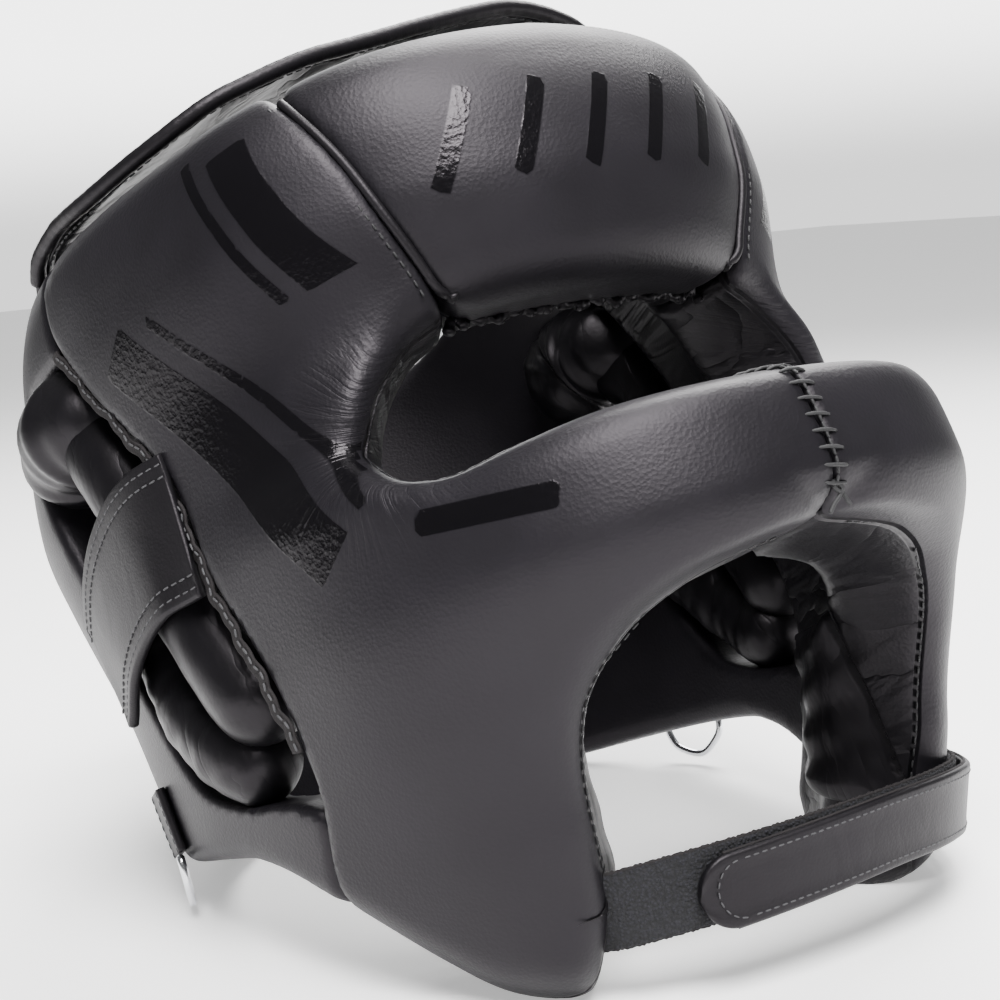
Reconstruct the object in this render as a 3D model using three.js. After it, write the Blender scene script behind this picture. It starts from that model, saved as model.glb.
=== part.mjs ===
// Padded boxing headgear with a closed face bar, in millimetres, +Z up, the wearer facing -Y.
// It is shaped in the wearer's upright frame, with Z = 0 at the jaw tips and Y = 0 at the ears,
// and then leans back onto its jaw tips and nape, as it lies on a table.
import * as THREE from 'three';
import { mergeVertices } from 'three/addons/utils/BufferGeometryUtils.js';

// Outer size of the padded shell
const shellHeight = 265;
const halfWidth = 114;
const foreheadReach = 127;
const barReach = 176;
const backReach = 134;
const crownStart = 225;
const crownRise = 72;
const frontFullness = 2.55;
const backFullness = 2.2;
const crownFullness = 2.2;

// Padding
const foreheadThickness = 34;
const barThickness = 42;
const cheekThickness = 32;
const templeThickness = 28;
const rearThickness = 20;
const foreheadCrowning = 9;
const padRounding = 14;
const topRounding = 16;
const seamRounding = 4;
const seamGap = 1;

// Openings
const browHeight = 180;
const barTop = 138;
const eyeCornerHeight = 149;
const eyeHalfAngle = 50;
const eyeCornerAngle = 41;
const mouthTop = 94;
const mouthHalfAngle = 27;
const napeHeight = 74;
const foreheadSeamAngle = 25;
const earEdgeReach = 59;
const earHoleReach = 60;
const earHoleTop = 220;
const rearSlot = 14;

// Trim
const pipingRadius = 2;
const bindingRadius = 2.4;
const leather = 2.5;
const fitGap = 0.5;

// Ear rolls and band
const frontRollRadius = 11;
const rearRollRadius = 11.9;
const coverThickness = 24;
const earBandWidth = 44;

// Crown band
const crownBandRise = 50;
const crownBandThickness = 3;

// Lining
const liningThickness = 3;
const liningReach = 104;

// Straps and ring
const strapWidth = 21;
const strapHeight = 16;
const tabWidth = 20;
const tabDrop = 4;
const napeStrapWidth = 58;
const napeStrapHalfLength = 62;
const ringTabWidth = 20;
const ringTabLength = 20;
const ringTabLift = 15;
const ringWidth = 20;
const ringDepth = 13;
const ringWire = 1.3;

// How far the leather is pressed flat where the headgear rests
const restFlat = 3;

// The outer surface: a row for each level, heights as shares of shellHeight, widths of halfWidth,
// forehead of foreheadReach, bar of what the bar reaches beyond the forehead, back of backReach
const mouldRows = [
  { height: -0.06, width: 0.74, forehead: 0.88, bar: 0, back: 0.6 },
  { height: 0.04, width: 0.83, forehead: 0.96, bar: 0, back: 0.69 },
  { height: 0.15, width: 0.91, forehead: 1, bar: 0.18, back: 0.78 },
  { height: 0.28, width: 0.955, forehead: 1, bar: 0.61, back: 0.86 },
  { height: 0.4, width: 0.97, forehead: 1, bar: 1, back: 0.9 },
  { height: 0.49, width: 0.97, forehead: 1, bar: 0.96, back: 0.93 },
  { height: 0.585, width: 0.965, forehead: 1, bar: 0.14, back: 0.97 },
  { height: 0.68, width: 0.98, forehead: 0.945, bar: 0, back: 1 },
  { height: 0.81, width: 1, forehead: 1, bar: 0, back: 1 },
  { height: 0.925, width: 1, forehead: 0.99, bar: 0, back: 0.98 },
];

// Eye opening: angle as a share of eyeHalfAngle, its edges as shares of brow and bar heights from the corner
const eyeRows = [
  { angle: 0, top: 1, bottom: 1 },
  { angle: 0.3, top: 1, bottom: 1.15 },
  { angle: 0.5, top: 0.94, bottom: 1.45 },
  { angle: 0.62, top: 0.8, bottom: 1.6 },
  { angle: 0.72, top: 0.52, bottom: 1.3 },
  { angle: 0.82, top: 0.15, bottom: 0.6 },
  { angle: 1, top: 0, bottom: 0 },
];

// Mouth opening: height as a share of mouthTop, half angle as a share of mouthHalfAngle
const mouthRows = [
  { height: -0.32, angle: 1.41 },
  { height: 0, angle: 1.19 },
  { height: 0.21, angle: 1.04 },
  { height: 0.53, angle: 1 },
  { height: 0.69, angle: 0.94 },
  { height: 0.85, angle: 0.74 },
  { height: 0.94, angle: 0.46 },
  { height: 1, angle: 0 },
];

// Lower edge: angle in degrees from the front, height as a share of napeHeight
const lowerRows = [
  { angle: 0, height: -0.4 },
  { angle: 30, height: -0.13 },
  { angle: 40, height: -0.02 },
  { angle: 46, height: 0.05 },
  { angle: 53, height: 0.19 },
  { angle: 61, height: 0.38 },
  { angle: 68, height: 0.54 },
  { angle: 79, height: 0.72 },
  { angle: 88, height: 0.8 },
  { angle: 115, height: 0.88 },
  { angle: 145, height: 0.93 },
  { angle: 180, height: 1 },
];

// Upper edge: angle in degrees from the front, height as a share of shellHeight
const upperRows = [
  { angle: 0, height: 1 },
  { angle: 38, height: 0.98 },
  { angle: 60, height: 0.95 },
  { angle: 90, height: 0.935 },
  { angle: 110, height: 0.94 },
  { angle: 130, height: 0.91 },
  { angle: 150, height: 0.86 },
  { angle: 180, height: 0.83 },
];

// Forehead seam: height as a share of the way from brow to top, angle as a share of foreheadSeamAngle
const seamRows = [
  { height: -0.3, angle: 0.95 },
  { height: 0, angle: 1.02 },
  { height: 0.34, angle: 1.2 },
  { height: 0.56, angle: 1.32 },
  { height: 0.87, angle: 1.56 },
  { height: 1.3, angle: 2 },
];

// Edges of the ear opening: height as a share of shellHeight; how far the side panel's edge stands
// before the ear, as a share of earEdgeReach; how far the hole runs behind it, of earHoleReach
const earRows = [
  { height: 0.11, front: 0.68, rear: -0.95 },
  { height: 0.19, front: 0.85, rear: -0.93 },
  { height: 0.235, front: 0.95, rear: -0.9 },
  { height: 0.255, front: 0.98, rear: -0.75 },
  { height: 0.275, front: 1, rear: -0.3 },
  { height: 0.31, front: 1, rear: 0.04 },
  { height: 0.35, front: 0.98, rear: 0.18 },
  { height: 0.42, front: 0.88, rear: 0.36 },
  { height: 0.46, front: 0.8, rear: 0.46 },
  { height: 0.55, front: 0.66, rear: 0.66 },
  { height: 0.64, front: 0.53, rear: 0.86 },
  { height: 0.7, front: 0.37, rear: 0.97 },
  { height: 0.77, front: 0.15, rear: 1 },
  { height: 0.87, front: -0.14, rear: 0.9 },
  { height: 1.02, front: -0.24, rear: 0.8 },
];

// Routes over the side of the head: y as a share of earEdgeReach, height of shellHeight,
// lift from the outer surface as a share of the piece's own radius or of the front roll's
const frontRollRoute = [
  { y: -0.24, height: 0.665, lift: -1.3 },
  { y: -0.43, height: 0.56, lift: -0.95 },
  { y: -0.59, height: 0.44, lift: -0.85 },
  { y: -0.76, height: 0.345, lift: -0.9 },
  { y: -0.82, height: 0.295, lift: -1.2 },
];
const rearRollRoute = [
  { y: 0.53, height: 0.595, lift: -1.4 },
  { y: 0.33, height: 0.495, lift: -1.1 },
  { y: 0.06, height: 0.4, lift: -0.8 },
  { y: -0.22, height: 0.335, lift: -0.75 },
  { y: -0.5, height: 0.29, lift: -1.05 },
];
const coverRoute = [
  { y: 0.04, height: 0.735, lift: -0.75 },
  { y: 0.3, height: 0.76, lift: -0.56 },
  { y: 0.6, height: 0.755, lift: -0.56 },
  { y: 0.9, height: 0.71, lift: -0.88 },
];
const earBandRoute = [
  { y: -0.62, height: 0.575, lift: 0.07 },
  { y: -0.36, height: 0.57, lift: 0.39 },
  { y: -0.05, height: 0.55, lift: 0.45 },
  { y: 0.25, height: 0.52, lift: 0.4 },
  { y: 0.56, height: 0.48, lift: 0.3 },
];

// Crown band, from the middle to its foot: x as a share of halfWidth, y of its front and rear edges
// as shares of earEdgeReach, their rise over the padded edge as shares of crownBandRise
const crownRows = [
  { along: 0, x: 0, front: -1.02, rear: 0.25, frontRise: 1, rearRise: 1.04 },
  { along: 0.2, x: 0.29, front: -1.02, rear: 0.3, frontRise: 0.93, rearRise: 0.96 },
  { along: 0.42, x: 0.58, front: -0.95, rear: 0.5, frontRise: 0.76, rearRise: 0.74 },
  { along: 0.62, x: 0.78, front: -0.66, rear: 0.78, frontRise: 0.47, rearRise: 0.44 },
  { along: 0.8, x: 0.875, front: -0.06, rear: 1.05, frontRise: 0.28, rearRise: 0.16 },
  { along: 0.92, x: 0.885, front: 0.4, rear: 1.22, frontRise: 0.13, rearRise: -0.02 },
  { along: 1, x: 0.865, front: 0.68, rear: 1.3, frontRise: -0.008, rearRise: -0.1 },
];
const crownTaper = 0.17;

// Chin strap, from inside the right jaw round the left: angle in degrees from the front, left side
// positive, height over strapHeight as a share of strapWidth, lift from the outer surface in mm
const chinRows = [
  { angle: -28, rise: -0.05, lift: -7.1 },
  { angle: -12, rise: -0.02, lift: -5 },
  { angle: 0, rise: 0.03, lift: -3 },
  { angle: 12, rise: 0.1, lift: -1.5 },
  { angle: 24, rise: 0.2, lift: 1 },
  { angle: 36, rise: 0.34, lift: 2.4 },
  { angle: 50, rise: 0.6, lift: 2.4 },
  { angle: 62, rise: 0.95, lift: 2.4 },
];

const degrees = Math.PI / 180;

// Smooth curve through two columns of a table, without overshoot
function curve(rows, from, to) {
  const xs = rows.map((row) => row[from]);
  const ys = rows.map((row) => row[to]);
  const secants = xs.slice(1).map((x, i) => (ys[i + 1] - ys[i]) / (x - xs[i]));
  const slopes = ys.map((unused, i) => {
    const before = secants[Math.max(i - 1, 0)];
    const after = secants[Math.min(i, secants.length - 1)];
    return before * after <= 0 ? 0 : (2 * before * after) / (before + after);
  });
  return (x) => {
    const at = Math.min(Math.max(x, xs[0]), xs[xs.length - 1]);
    let i = 0;
    while (i < xs.length - 2 && at > xs[i + 1]) i += 1;
    const span = xs[i + 1] - xs[i];
    const t = (at - xs[i]) / span;
    const start = ys[i] * (1 + 2 * t) * (1 - t) ** 2 + slopes[i] * span * t * (1 - t) ** 2;
    return start + ys[i + 1] * t * t * (3 - 2 * t) + slopes[i + 1] * span * t * t * (t - 1);
  };
}

function smoothMax(a, b, rounding) {
  const h = Math.min(Math.max(0.5 + (0.5 * (a - b)) / rounding, 0), 1);
  return b + (a - b) * h + rounding * h * (1 - h);
}

function smoothMin(a, b, rounding) {
  return -smoothMax(-a, -b, rounding);
}

// The outer surface as one function: 1 on the surface, less inside, more outside
const widthAt = curve(mouldRows, 'height', 'width');
const foreheadAt = curve(mouldRows, 'height', 'forehead');
const barAt = curve(mouldRows, 'height', 'bar');
const backAt = curve(mouldRows, 'height', 'back');

function mouldLevel(x, y, z) {
  const share = z / shellHeight;
  const front = foreheadReach * foreheadAt(share) + (barReach - foreheadReach) * barAt(share);
  const reach = y < 0 ? front : backReach * backAt(share);
  const fullness = y < 0 ? frontFullness : backFullness;
  const side = Math.abs(x) / (halfWidth * widthAt(share));
  const crown = Math.max(z - crownStart, 0) / crownRise;
  const sum = side ** fullness + (Math.abs(y) / reach) ** fullness + crown ** crownFullness;
  return sum ** (1 / fullness);
}

// Where a level line leaves the axis at an angle from the front and meets the outer surface
function onShell(angle, z, lift = 0) {
  const out = new THREE.Vector3(Math.sin(angle * degrees), -Math.cos(angle * degrees), 0);
  let inside = 0;
  let outside = 2 * barReach;
  for (let step = 0; step < 40; step += 1) {
    const middle = (inside + outside) / 2;
    if (mouldLevel(out.x * middle, out.y * middle, z) < 1) inside = middle;
    else outside = middle;
  }
  const point = out.clone().multiplyScalar(inside).setZ(z);
  return point.addScaledVector(shellNormal(point), lift);
}

// The same for a point on the wearer's right side, given by y and height
function onSide(y, z, lift = 0) {
  let inside = 0;
  let outside = 2 * halfWidth;
  for (let step = 0; step < 40; step += 1) {
    const middle = (inside + outside) / 2;
    if (mouldLevel(middle, y, z) < 1) inside = middle;
    else outside = middle;
  }
  const point = new THREE.Vector3(-inside, y, z);
  return point.addScaledVector(shellNormal(point), lift);
}

function shellNormal(p) {
  const step = 0.5;
  return new THREE.Vector3(
    mouldLevel(p.x + step, p.y, p.z) - mouldLevel(p.x - step, p.y, p.z),
    mouldLevel(p.x, p.y + step, p.z) - mouldLevel(p.x, p.y - step, p.z),
    mouldLevel(p.x, p.y, p.z + step) - mouldLevel(p.x, p.y, p.z - step),
  ).normalize();
}

// Edges of the openings, as heights or angles
const eyeTopShare = curve(eyeRows, 'angle', 'top');
const eyeBottomShare = curve(eyeRows, 'angle', 'bottom');
const mouthShare = curve(mouthRows, 'height', 'angle');
const lowerShare = curve(lowerRows, 'angle', 'height');
const upperShare = curve(upperRows, 'angle', 'height');
const seamShare = curve(seamRows, 'height', 'angle');
const earFrontShare = curve(earRows, 'height', 'front');
const earRearShare = curve(earRows, 'height', 'rear');

const eyeTop = (angle) => eyeCornerHeight + (browHeight - eyeCornerHeight) * eyeTopShare(angle / eyeHalfAngle);
const eyeBottom = (angle) => eyeCornerHeight - (eyeCornerHeight - barTop) * eyeBottomShare(angle / eyeHalfAngle);
const mouthAngle = (z) => mouthHalfAngle * mouthShare(z / mouthTop);
const lowerEdge = (angle) => napeHeight * lowerShare(angle);
const upperEdge = (angle) => shellHeight * upperShare(angle);
const seamAngle = (z) => foreheadSeamAngle * seamShare((z - browHeight) / (shellHeight - browHeight));
const earFront = (z) => -earEdgeReach * earFrontShare(z / shellHeight);
const earRear = (z) => earHoleReach * earRearShare(z / shellHeight);

const thicknessRows = [
  { angle: 0, thickness: barThickness },
  { angle: 60, thickness: cheekThickness },
  { angle: 100, thickness: templeThickness },
  { angle: 135, thickness: rearThickness },
  { angle: 180, thickness: rearThickness },
];
const thicknessAt = curve(thicknessRows, 'angle', 'thickness');

// Millimetres along the shell for each degree round it, and for each degree at the jaws
const arcPerDegree = 1.9;

// A padded layer under the outer surface, from depth to depth + thickness
function layer(distance, depth, thickness) {
  return Math.abs(distance + depth + thickness / 2) - thickness / 2;
}

function foreheadField(p) {
  const edge = seamAngle(p.z);
  const crowning = foreheadCrowning * (1 - Math.min(p.angle / edge, 1) ** 2);
  let field = layer(p.distance - crowning, 2, foreheadThickness);
  field = smoothMax(field, (p.angle - edge) * arcPerDegree + seamGap / 2, seamRounding);
  field = smoothMax(field, eyeTop(p.angle) - p.z, padRounding);
  return smoothMax(field, p.z - upperEdge(p.angle), topRounding);
}

function sidePanelField(p) {
  let field = layer(p.distance, 0, thicknessAt(p.angle));
  const eyeHeight = Math.max(p.z - eyeTop(p.angle), eyeBottom(p.angle) - p.z);
  const eye = smoothMax(eyeHeight, (p.angle - eyeCornerAngle) * arcPerDegree, padRounding);
  const mouth = Math.max((p.angle - mouthAngle(p.z)) * arcPerDegree, p.z - mouthTop);
  field = smoothMax(field, -eye, padRounding);
  field = smoothMax(field, -mouth, padRounding);
  field = smoothMax(field, lowerEdge(p.angle) - p.z, padRounding);
  field = smoothMax(field, p.z - upperEdge(p.angle), topRounding);
  if (p.angle > eyeHalfAngle) field = smoothMax(field, p.y - earFront(p.z), seamRounding);
  if (p.z > eyeCornerHeight) {
    field = smoothMax(field, (seamAngle(p.z) - p.angle) * arcPerDegree + seamGap / 2, seamRounding);
  }
  return smoothMax(field, p.x + seamGap / 2, seamRounding);
}

function rearPanelField(p) {
  if (p.angle < eyeHalfAngle) return halfWidth;
  let field = layer(p.distance, 2, rearThickness - 2);
  field = smoothMax(field, earFront(p.z) - 0.2 * seamGap - p.y, seamRounding);
  field = smoothMax(field, lowerEdge(p.angle) - p.z, padRounding / 2);
  field = smoothMax(field, p.z - upperEdge(p.angle), padRounding / 2);
  const hole = smoothMax(p.y - earRear(p.z), p.z - earHoleTop, padRounding);
  field = smoothMax(field, -hole, seamRounding);
  return smoothMax(field, p.x + rearSlot / 2, seamRounding);
}

// Grid of points round the shell, with the distance to the outer surface at each
const cell = 10.4;
const cellMargin = 0.02;
const gridLow = new THREE.Vector3(-halfWidth - 2 * cell, -barReach - 2 * cell, -3 * cell);
const gridHigh = new THREE.Vector3(halfWidth + 2 * cell, backReach + 2 * cell, crownStart + crownRise);
const gridCount = gridHigh.clone().sub(gridLow).divideScalar(cell).ceil().addScalar(1).toArray();
const gridIndex = (i, j, k) => (i * gridCount[1] + j) * gridCount[2] + k;

function gridPoints() {
  const points = [];
  const [nx, ny, nz] = gridCount;
  for (let i = 0; i < nx; i += 1) {
    for (let j = 0; j < ny; j += 1) {
      for (let k = 0; k < nz; k += 1) {
        const x = gridLow.x + i * cell;
        const y = gridLow.y + j * cell;
        const z = gridLow.z + k * cell;
        const angle = Math.atan2(Math.abs(x), -y) / degrees;
        points.push({ x, y, z, angle, level: mouldLevel(x, y, z) });
      }
    }
  }
  const step = cell / 4;
  for (const p of points) {
    const slope = Math.hypot(
      mouldLevel(p.x + step, p.y, p.z) - mouldLevel(p.x - step, p.y, p.z),
      mouldLevel(p.x, p.y + step, p.z) - mouldLevel(p.x, p.y - step, p.z),
      mouldLevel(p.x, p.y, p.z + step) - mouldLevel(p.x, p.y, p.z - step),
    ) / (2 * step);
    p.distance = (p.level - 1) / Math.max(slope, 0.002);
  }
  return points;
}

const points = gridPoints();

// Four faces would meet at one edge where a grid square is inside only along a diagonal,
// so the nearer of its outside corners is taken as inside
function withoutDiagonals(values) {
  const [nx, ny, nz] = gridCount;
  const steps = [[1, 0, 0], [0, 1, 0], [0, 0, 1]].map((step) => gridIndex(...step));
  let changed = true;
  while (changed) {
    changed = false;
    for (let axis = 0; axis < 3; axis += 1) {
      const u = steps[(axis + 1) % 3];
      const v = steps[(axis + 2) % 3];
      for (let at = 0; at < nx * ny * nz - u - v; at += 1) {
        const square = [at, at + u, at + u + v, at + v];
        const inside = square.map((corner) => values[corner] < 0);
        if (inside[0] !== inside[2] || inside[1] !== inside[3] || inside[0] === inside[1]) continue;
        const [a, b] = square.filter((corner) => values[corner] >= 0);
        values[values[a] < values[b] ? a : b] = -cellMargin;
        changed = true;
      }
    }
  }
  return values;
}

// The surface where a field is zero, as one closed mesh: a vertex in each cell that it crosses
function surfaceOf(field) {
  const values = withoutDiagonals(Float64Array.from(points, field));
  const [nx, ny, nz] = gridCount;
  const vertexOfCell = new Map();
  const vertices = [];
  const corners = [];
  for (let c = 0; c < 8; c += 1) corners.push([c & 1, (c >> 1) & 1, (c >> 2) & 1]);
  for (let i = 0; i < nx - 1; i += 1) {
    for (let j = 0; j < ny - 1; j += 1) {
      for (let k = 0; k < nz - 1; k += 1) {
        const at = corners.map(([a, b, c]) => values[gridIndex(i + a, j + b, k + c)]);
        const sum = new THREE.Vector3();
        let crossings = 0;
        for (let c = 0; c < 8; c += 1) {
          for (const bit of [1, 2, 4]) {
            const other = c | bit;
            if (c & bit || (at[c] < 0) === (at[other] < 0)) continue;
            const t = at[c] / (at[c] - at[other]);
            const start = new THREE.Vector3(...corners[c]);
            sum.add(start.lerp(new THREE.Vector3(...corners[other]), t));
            crossings += 1;
          }
        }
        if (crossings === 0) continue;
        vertexOfCell.set(gridIndex(i, j, k), vertices.length / 3);
        sum.divideScalar(crossings).clampScalar(cellMargin, 1 - cellMargin);
        sum.add(new THREE.Vector3(i, j, k)).multiplyScalar(cell).add(gridLow);
        vertices.push(sum.x, sum.y, sum.z);
      }
    }
  }
  const triangles = [];
  const spot = (v) => new THREE.Vector3().fromArray(vertices, 3 * v);
  for (let i = 1; i < nx - 1; i += 1) {
    for (let j = 1; j < ny - 1; j += 1) {
      for (let k = 1; k < nz - 1; k += 1) {
        for (let axis = 0; axis < 3; axis += 1) {
          const ahead = [i, j, k];
          ahead[axis] += 1;
          const here = values[gridIndex(i, j, k)] < 0;
          if (here === (values[gridIndex(...ahead)] < 0)) continue;
          const u = (axis + 1) % 3;
          const v = (axis + 2) % 3;
          const around = [[0, 0], [1, 0], [1, 1], [0, 1]].map(([a, b]) => {
            const place = [i, j, k];
            place[u] -= a;
            place[v] -= b;
            return vertexOfCell.get(gridIndex(...place));
          });
          const [a, b, c, d] = here ? around : around.reverse();
          if (spot(a).distanceTo(spot(c)) < spot(b).distanceTo(spot(d))) {
            triangles.push(a, b, c, a, c, d);
          } else {
            triangles.push(a, b, d, b, c, d);
          }
        }
      }
    }
  }
  const geometry = new THREE.BufferGeometry();
  geometry.setAttribute('position', new THREE.Float32BufferAttribute(vertices, 3));
  geometry.setIndex(triangles);
  return geometry;
}

// A closed slab over a grid of shares u and v, between its faces w = 0 and w = 1
function slab(pointAt, alongCount, acrossCount) {
  const vertices = [];
  const index = new Map();
  const vertexAt = (i, j, side) => {
    const key = `${i},${j},${side}`;
    if (!index.has(key)) {
      index.set(key, index.size);
      vertices.push(...pointAt(i / alongCount, j / acrossCount, side).toArray());
    }
    return index.get(key);
  };
  const triangles = [];
  const quad = (a, b, c, d) => triangles.push(a, b, c, a, c, d);
  for (let i = 0; i < alongCount; i += 1) {
    for (let j = 0; j < acrossCount; j += 1) {
      const low = [[i, j], [i + 1, j], [i + 1, j + 1], [i, j + 1]].map(([a, b]) => vertexAt(a, b, 0));
      const high = [[i, j], [i + 1, j], [i + 1, j + 1], [i, j + 1]].map(([a, b]) => vertexAt(a, b, 1));
      quad(low[3], low[2], low[1], low[0]);
      quad(high[0], high[1], high[2], high[3]);
      if (i === 0) quad(low[0], high[0], high[3], low[3]);
      if (i === alongCount - 1) quad(low[2], high[2], high[1], low[1]);
      if (j === 0) quad(low[1], high[1], high[0], low[0]);
      if (j === acrossCount - 1) quad(low[3], high[3], high[2], low[2]);
    }
  }
  const geometry = new THREE.BufferGeometry();
  geometry.setAttribute('position', new THREE.Float32BufferAttribute(vertices, 3));
  geometry.setIndex(triangles);
  return facingOut(geometry);
}

// A padded roll along a path: rings of one radius, rounded in over the end caps
function roll(path, radius, rings, sides, capLength) {
  const line = new THREE.CatmullRomCurve3(path);
  const length = line.getLength();
  const frames = line.computeFrenetFrames(rings, false);
  const vertices = [];
  const triangles = [];
  for (let i = 0; i <= rings; i += 1) {
    const centre = line.getPointAt(i / rings);
    const fromEnd = (Math.min(i, rings - i) / rings) * length;
    const share = Math.min(fromEnd / capLength, 1);
    const size = radius * Math.sqrt(1 - (1 - share) ** 2 * 0.8);
    for (let s = 0; s < sides; s += 1) {
      const turn = (2 * Math.PI * s) / sides;
      const point = centre.clone();
      point.addScaledVector(frames.normals[i], size * Math.cos(turn));
      point.addScaledVector(frames.binormals[i], size * Math.sin(turn));
      vertices.push(...point.toArray());
    }
  }
  for (let i = 0; i < rings; i += 1) {
    for (let s = 0; s < sides; s += 1) {
      const a = i * sides + s;
      const b = i * sides + ((s + 1) % sides);
      triangles.push(a, b, b + sides, a, b + sides, a + sides);
    }
  }
  for (let s = 1; s < sides - 1; s += 1) {
    const last = rings * sides;
    triangles.push(0, s + 1, s, last, last + s, last + s + 1);
  }
  const geometry = new THREE.BufferGeometry();
  geometry.setAttribute('position', new THREE.Float32BufferAttribute(vertices, 3));
  geometry.setIndex(triangles);
  return facingOut(geometry);
}

// Turns a closed mesh's faces outward if they point in
function facingOut(geometry) {
  const at = geometry.getAttribute('position');
  const index = Array.from(geometry.getIndex().array);
  const spot = (v) => new THREE.Vector3().fromBufferAttribute(at, v);
  let volume = 0;
  for (let i = 0; i < index.length; i += 3) {
    volume += spot(index[i]).dot(spot(index[i + 1]).cross(spot(index[i + 2])));
  }
  if (volume < 0) index.reverse();
  geometry.setIndex(index);
  return geometry;
}

// Only the shared corner points and the triangles of a geometry
function bareMesh(geometry) {
  const bare = geometry.clone();
  bare.deleteAttribute('normal');
  bare.deleteAttribute('uv');
  return mergeVertices(bare, 1e-4);
}

function mirrored(geometry) {
  const other = geometry.clone();
  other.applyMatrix4(new THREE.Matrix4().makeScale(-1, 1, 1));
  other.setIndex(Array.from(other.getIndex().array).reverse());
  return other;
}

// A round rope of leather along a path
function rope(path, radius, steps, closed = false) {
  const sides = 6;
  const ring = [];
  for (let s = 0; s < sides; s += 1) {
    const turn = (2 * Math.PI * s) / sides;
    ring.push(new THREE.Vector2(radius * Math.cos(turn), radius * Math.sin(turn)));
  }
  const extrudePath = new THREE.CatmullRomCurve3(path, closed);
  const tube = new THREE.ExtrudeGeometry(new THREE.Shape(ring), { steps, bevelEnabled: false, extrudePath });
  return facingOut(bareMesh(tube));
}

// A flat strap along a path of points, each with the direction its face looks
function strap(stops, width, thickness, steps) {
  const line = new THREE.CatmullRomCurve3(stops.map((stop) => stop.point));
  const facing = new THREE.CatmullRomCurve3(stops.map((stop) => stop.normal));
  return slab((u, v, w) => {
    const tangent = line.getTangent(u);
    const normal = facing.getPoint(u).normalize();
    const across = tangent.clone().cross(normal).normalize();
    const point = line.getPoint(u);
    point.addScaledVector(across, width * (v - 0.5));
    return point.addScaledVector(normal, thickness * (w - 0.5));
  }, steps, 2);
}

const shares = (count) => Array.from({ length: count + 1 }, (unused, i) => i / count);

// Brow piping, in the groove of each forehead seam
function pipingGeometry() {
  const path = shares(8).map((share) => {
    const z = browHeight + 12 + (upperEdge(foreheadSeamAngle * 1.5) - topRounding - browHeight - 12) * share;
    return onShell(-seamAngle(z), z, -pipingRadius);
  });
  return rope(path, pipingRadius, 12);
}

const sideStop = (row, radius) => onSide(row.y * earEdgeReach, row.height * shellHeight, row.lift * radius);

function frontRollGeometry() {
  const path = frontRollRoute.map((row) => sideStop(row, frontRollRadius));
  return roll(path, frontRollRadius, 10, 10, frontRollRadius);
}

function rearRollGeometry() {
  const path = rearRollRoute.map((row) => sideStop(row, rearRollRadius));
  return roll(path, rearRollRadius, 10, 10, rearRollRadius);
}

function coverGeometry() {
  const path = coverRoute.map((row) => sideStop(row, coverThickness));
  return roll(path, coverThickness * 0.82, 8, 12, coverThickness);
}

function earBandGeometry() {
  const stops = earBandRoute.map((row) => {
    const point = sideStop(row, frontRollRadius * 1.4);
    return { point, normal: shellNormal(point) };
  });
  return strap(stops, earBandWidth, leather, 8);
}

// Crown band over the top, from one side of the head to the other
const crownX = curve(crownRows, 'along', 'x');
const crownFront = curve(crownRows, 'along', 'front');
const crownRear = curve(crownRows, 'along', 'rear');
const crownFrontRise = curve(crownRows, 'along', 'frontRise');
const crownRearRise = curve(crownRows, 'along', 'rearRise');
const padTop = upperEdge(90);

function crownPoint(u, v) {
  const along = Math.abs(2 * u - 1);
  const side = Math.sign(2 * u - 1);
  const reach = halfWidth * crownX(along) * (1 - crownTaper * v * along ** 4);
  const rise = THREE.MathUtils.lerp(crownFrontRise(along), crownRearRise(along), v);
  return new THREE.Vector3(
    side * reach,
    earEdgeReach * THREE.MathUtils.lerp(crownFront(along), crownRear(along), v),
    padTop + crownBandRise * rise,
  );
}

function crownNormal(u, v) {
  const step = 0.02;
  const along = crownPoint(u + step, v).sub(crownPoint(u - step, v));
  const across = crownPoint(u, v + step).sub(crownPoint(u, v - step));
  return along.cross(across).normalize();
}

function crownBandGeometry() {
  return slab((u, v, w) => {
    const point = crownPoint(u, v);
    return point.addScaledVector(crownNormal(u, v), crownBandThickness * (w - 0.5));
  }, 24, 3);
}

function crownBindingGeometry() {
  const path = shares(24).map((share) => {
    const u = THREE.MathUtils.lerp(0.02, 0.98, share);
    const edge = crownPoint(u + 0.01, 0).sub(crownPoint(u - 0.01, 0)).normalize();
    const forward = edge.cross(crownNormal(u, 0)).normalize();
    return crownPoint(u, 0).addScaledVector(forward, bindingRadius + 1.5 * fitGap);
  });
  return rope(path, bindingRadius, 30);
}

// Smooth lining inside the cheek and jaw, found by going out along each ray to the panel
function fieldPoint(x, y, z) {
  const angle = Math.atan2(Math.abs(x), -y) / degrees;
  const step = cell / 4;
  const slope = Math.hypot(
    mouldLevel(x + step, y, z) - mouldLevel(x - step, y, z),
    mouldLevel(x, y + step, z) - mouldLevel(x, y - step, z),
    mouldLevel(x, y, z + step) - mouldLevel(x, y, z - step),
  ) / (2 * step);
  return { x, y, z, angle, distance: (mouldLevel(x, y, z) - 1) / Math.max(slope, 0.002) };
}

function insidePanel(y, z, gap) {
  let x = -halfWidth / 4;
  while (x > -halfWidth) {
    const field = sidePanelField(fieldPoint(x, y, z));
    if (field < gap + 0.05) break;
    x -= Math.max((field - gap) / 2, 0.1);
  }
  return new THREE.Vector3(x, y, z);
}

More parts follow.
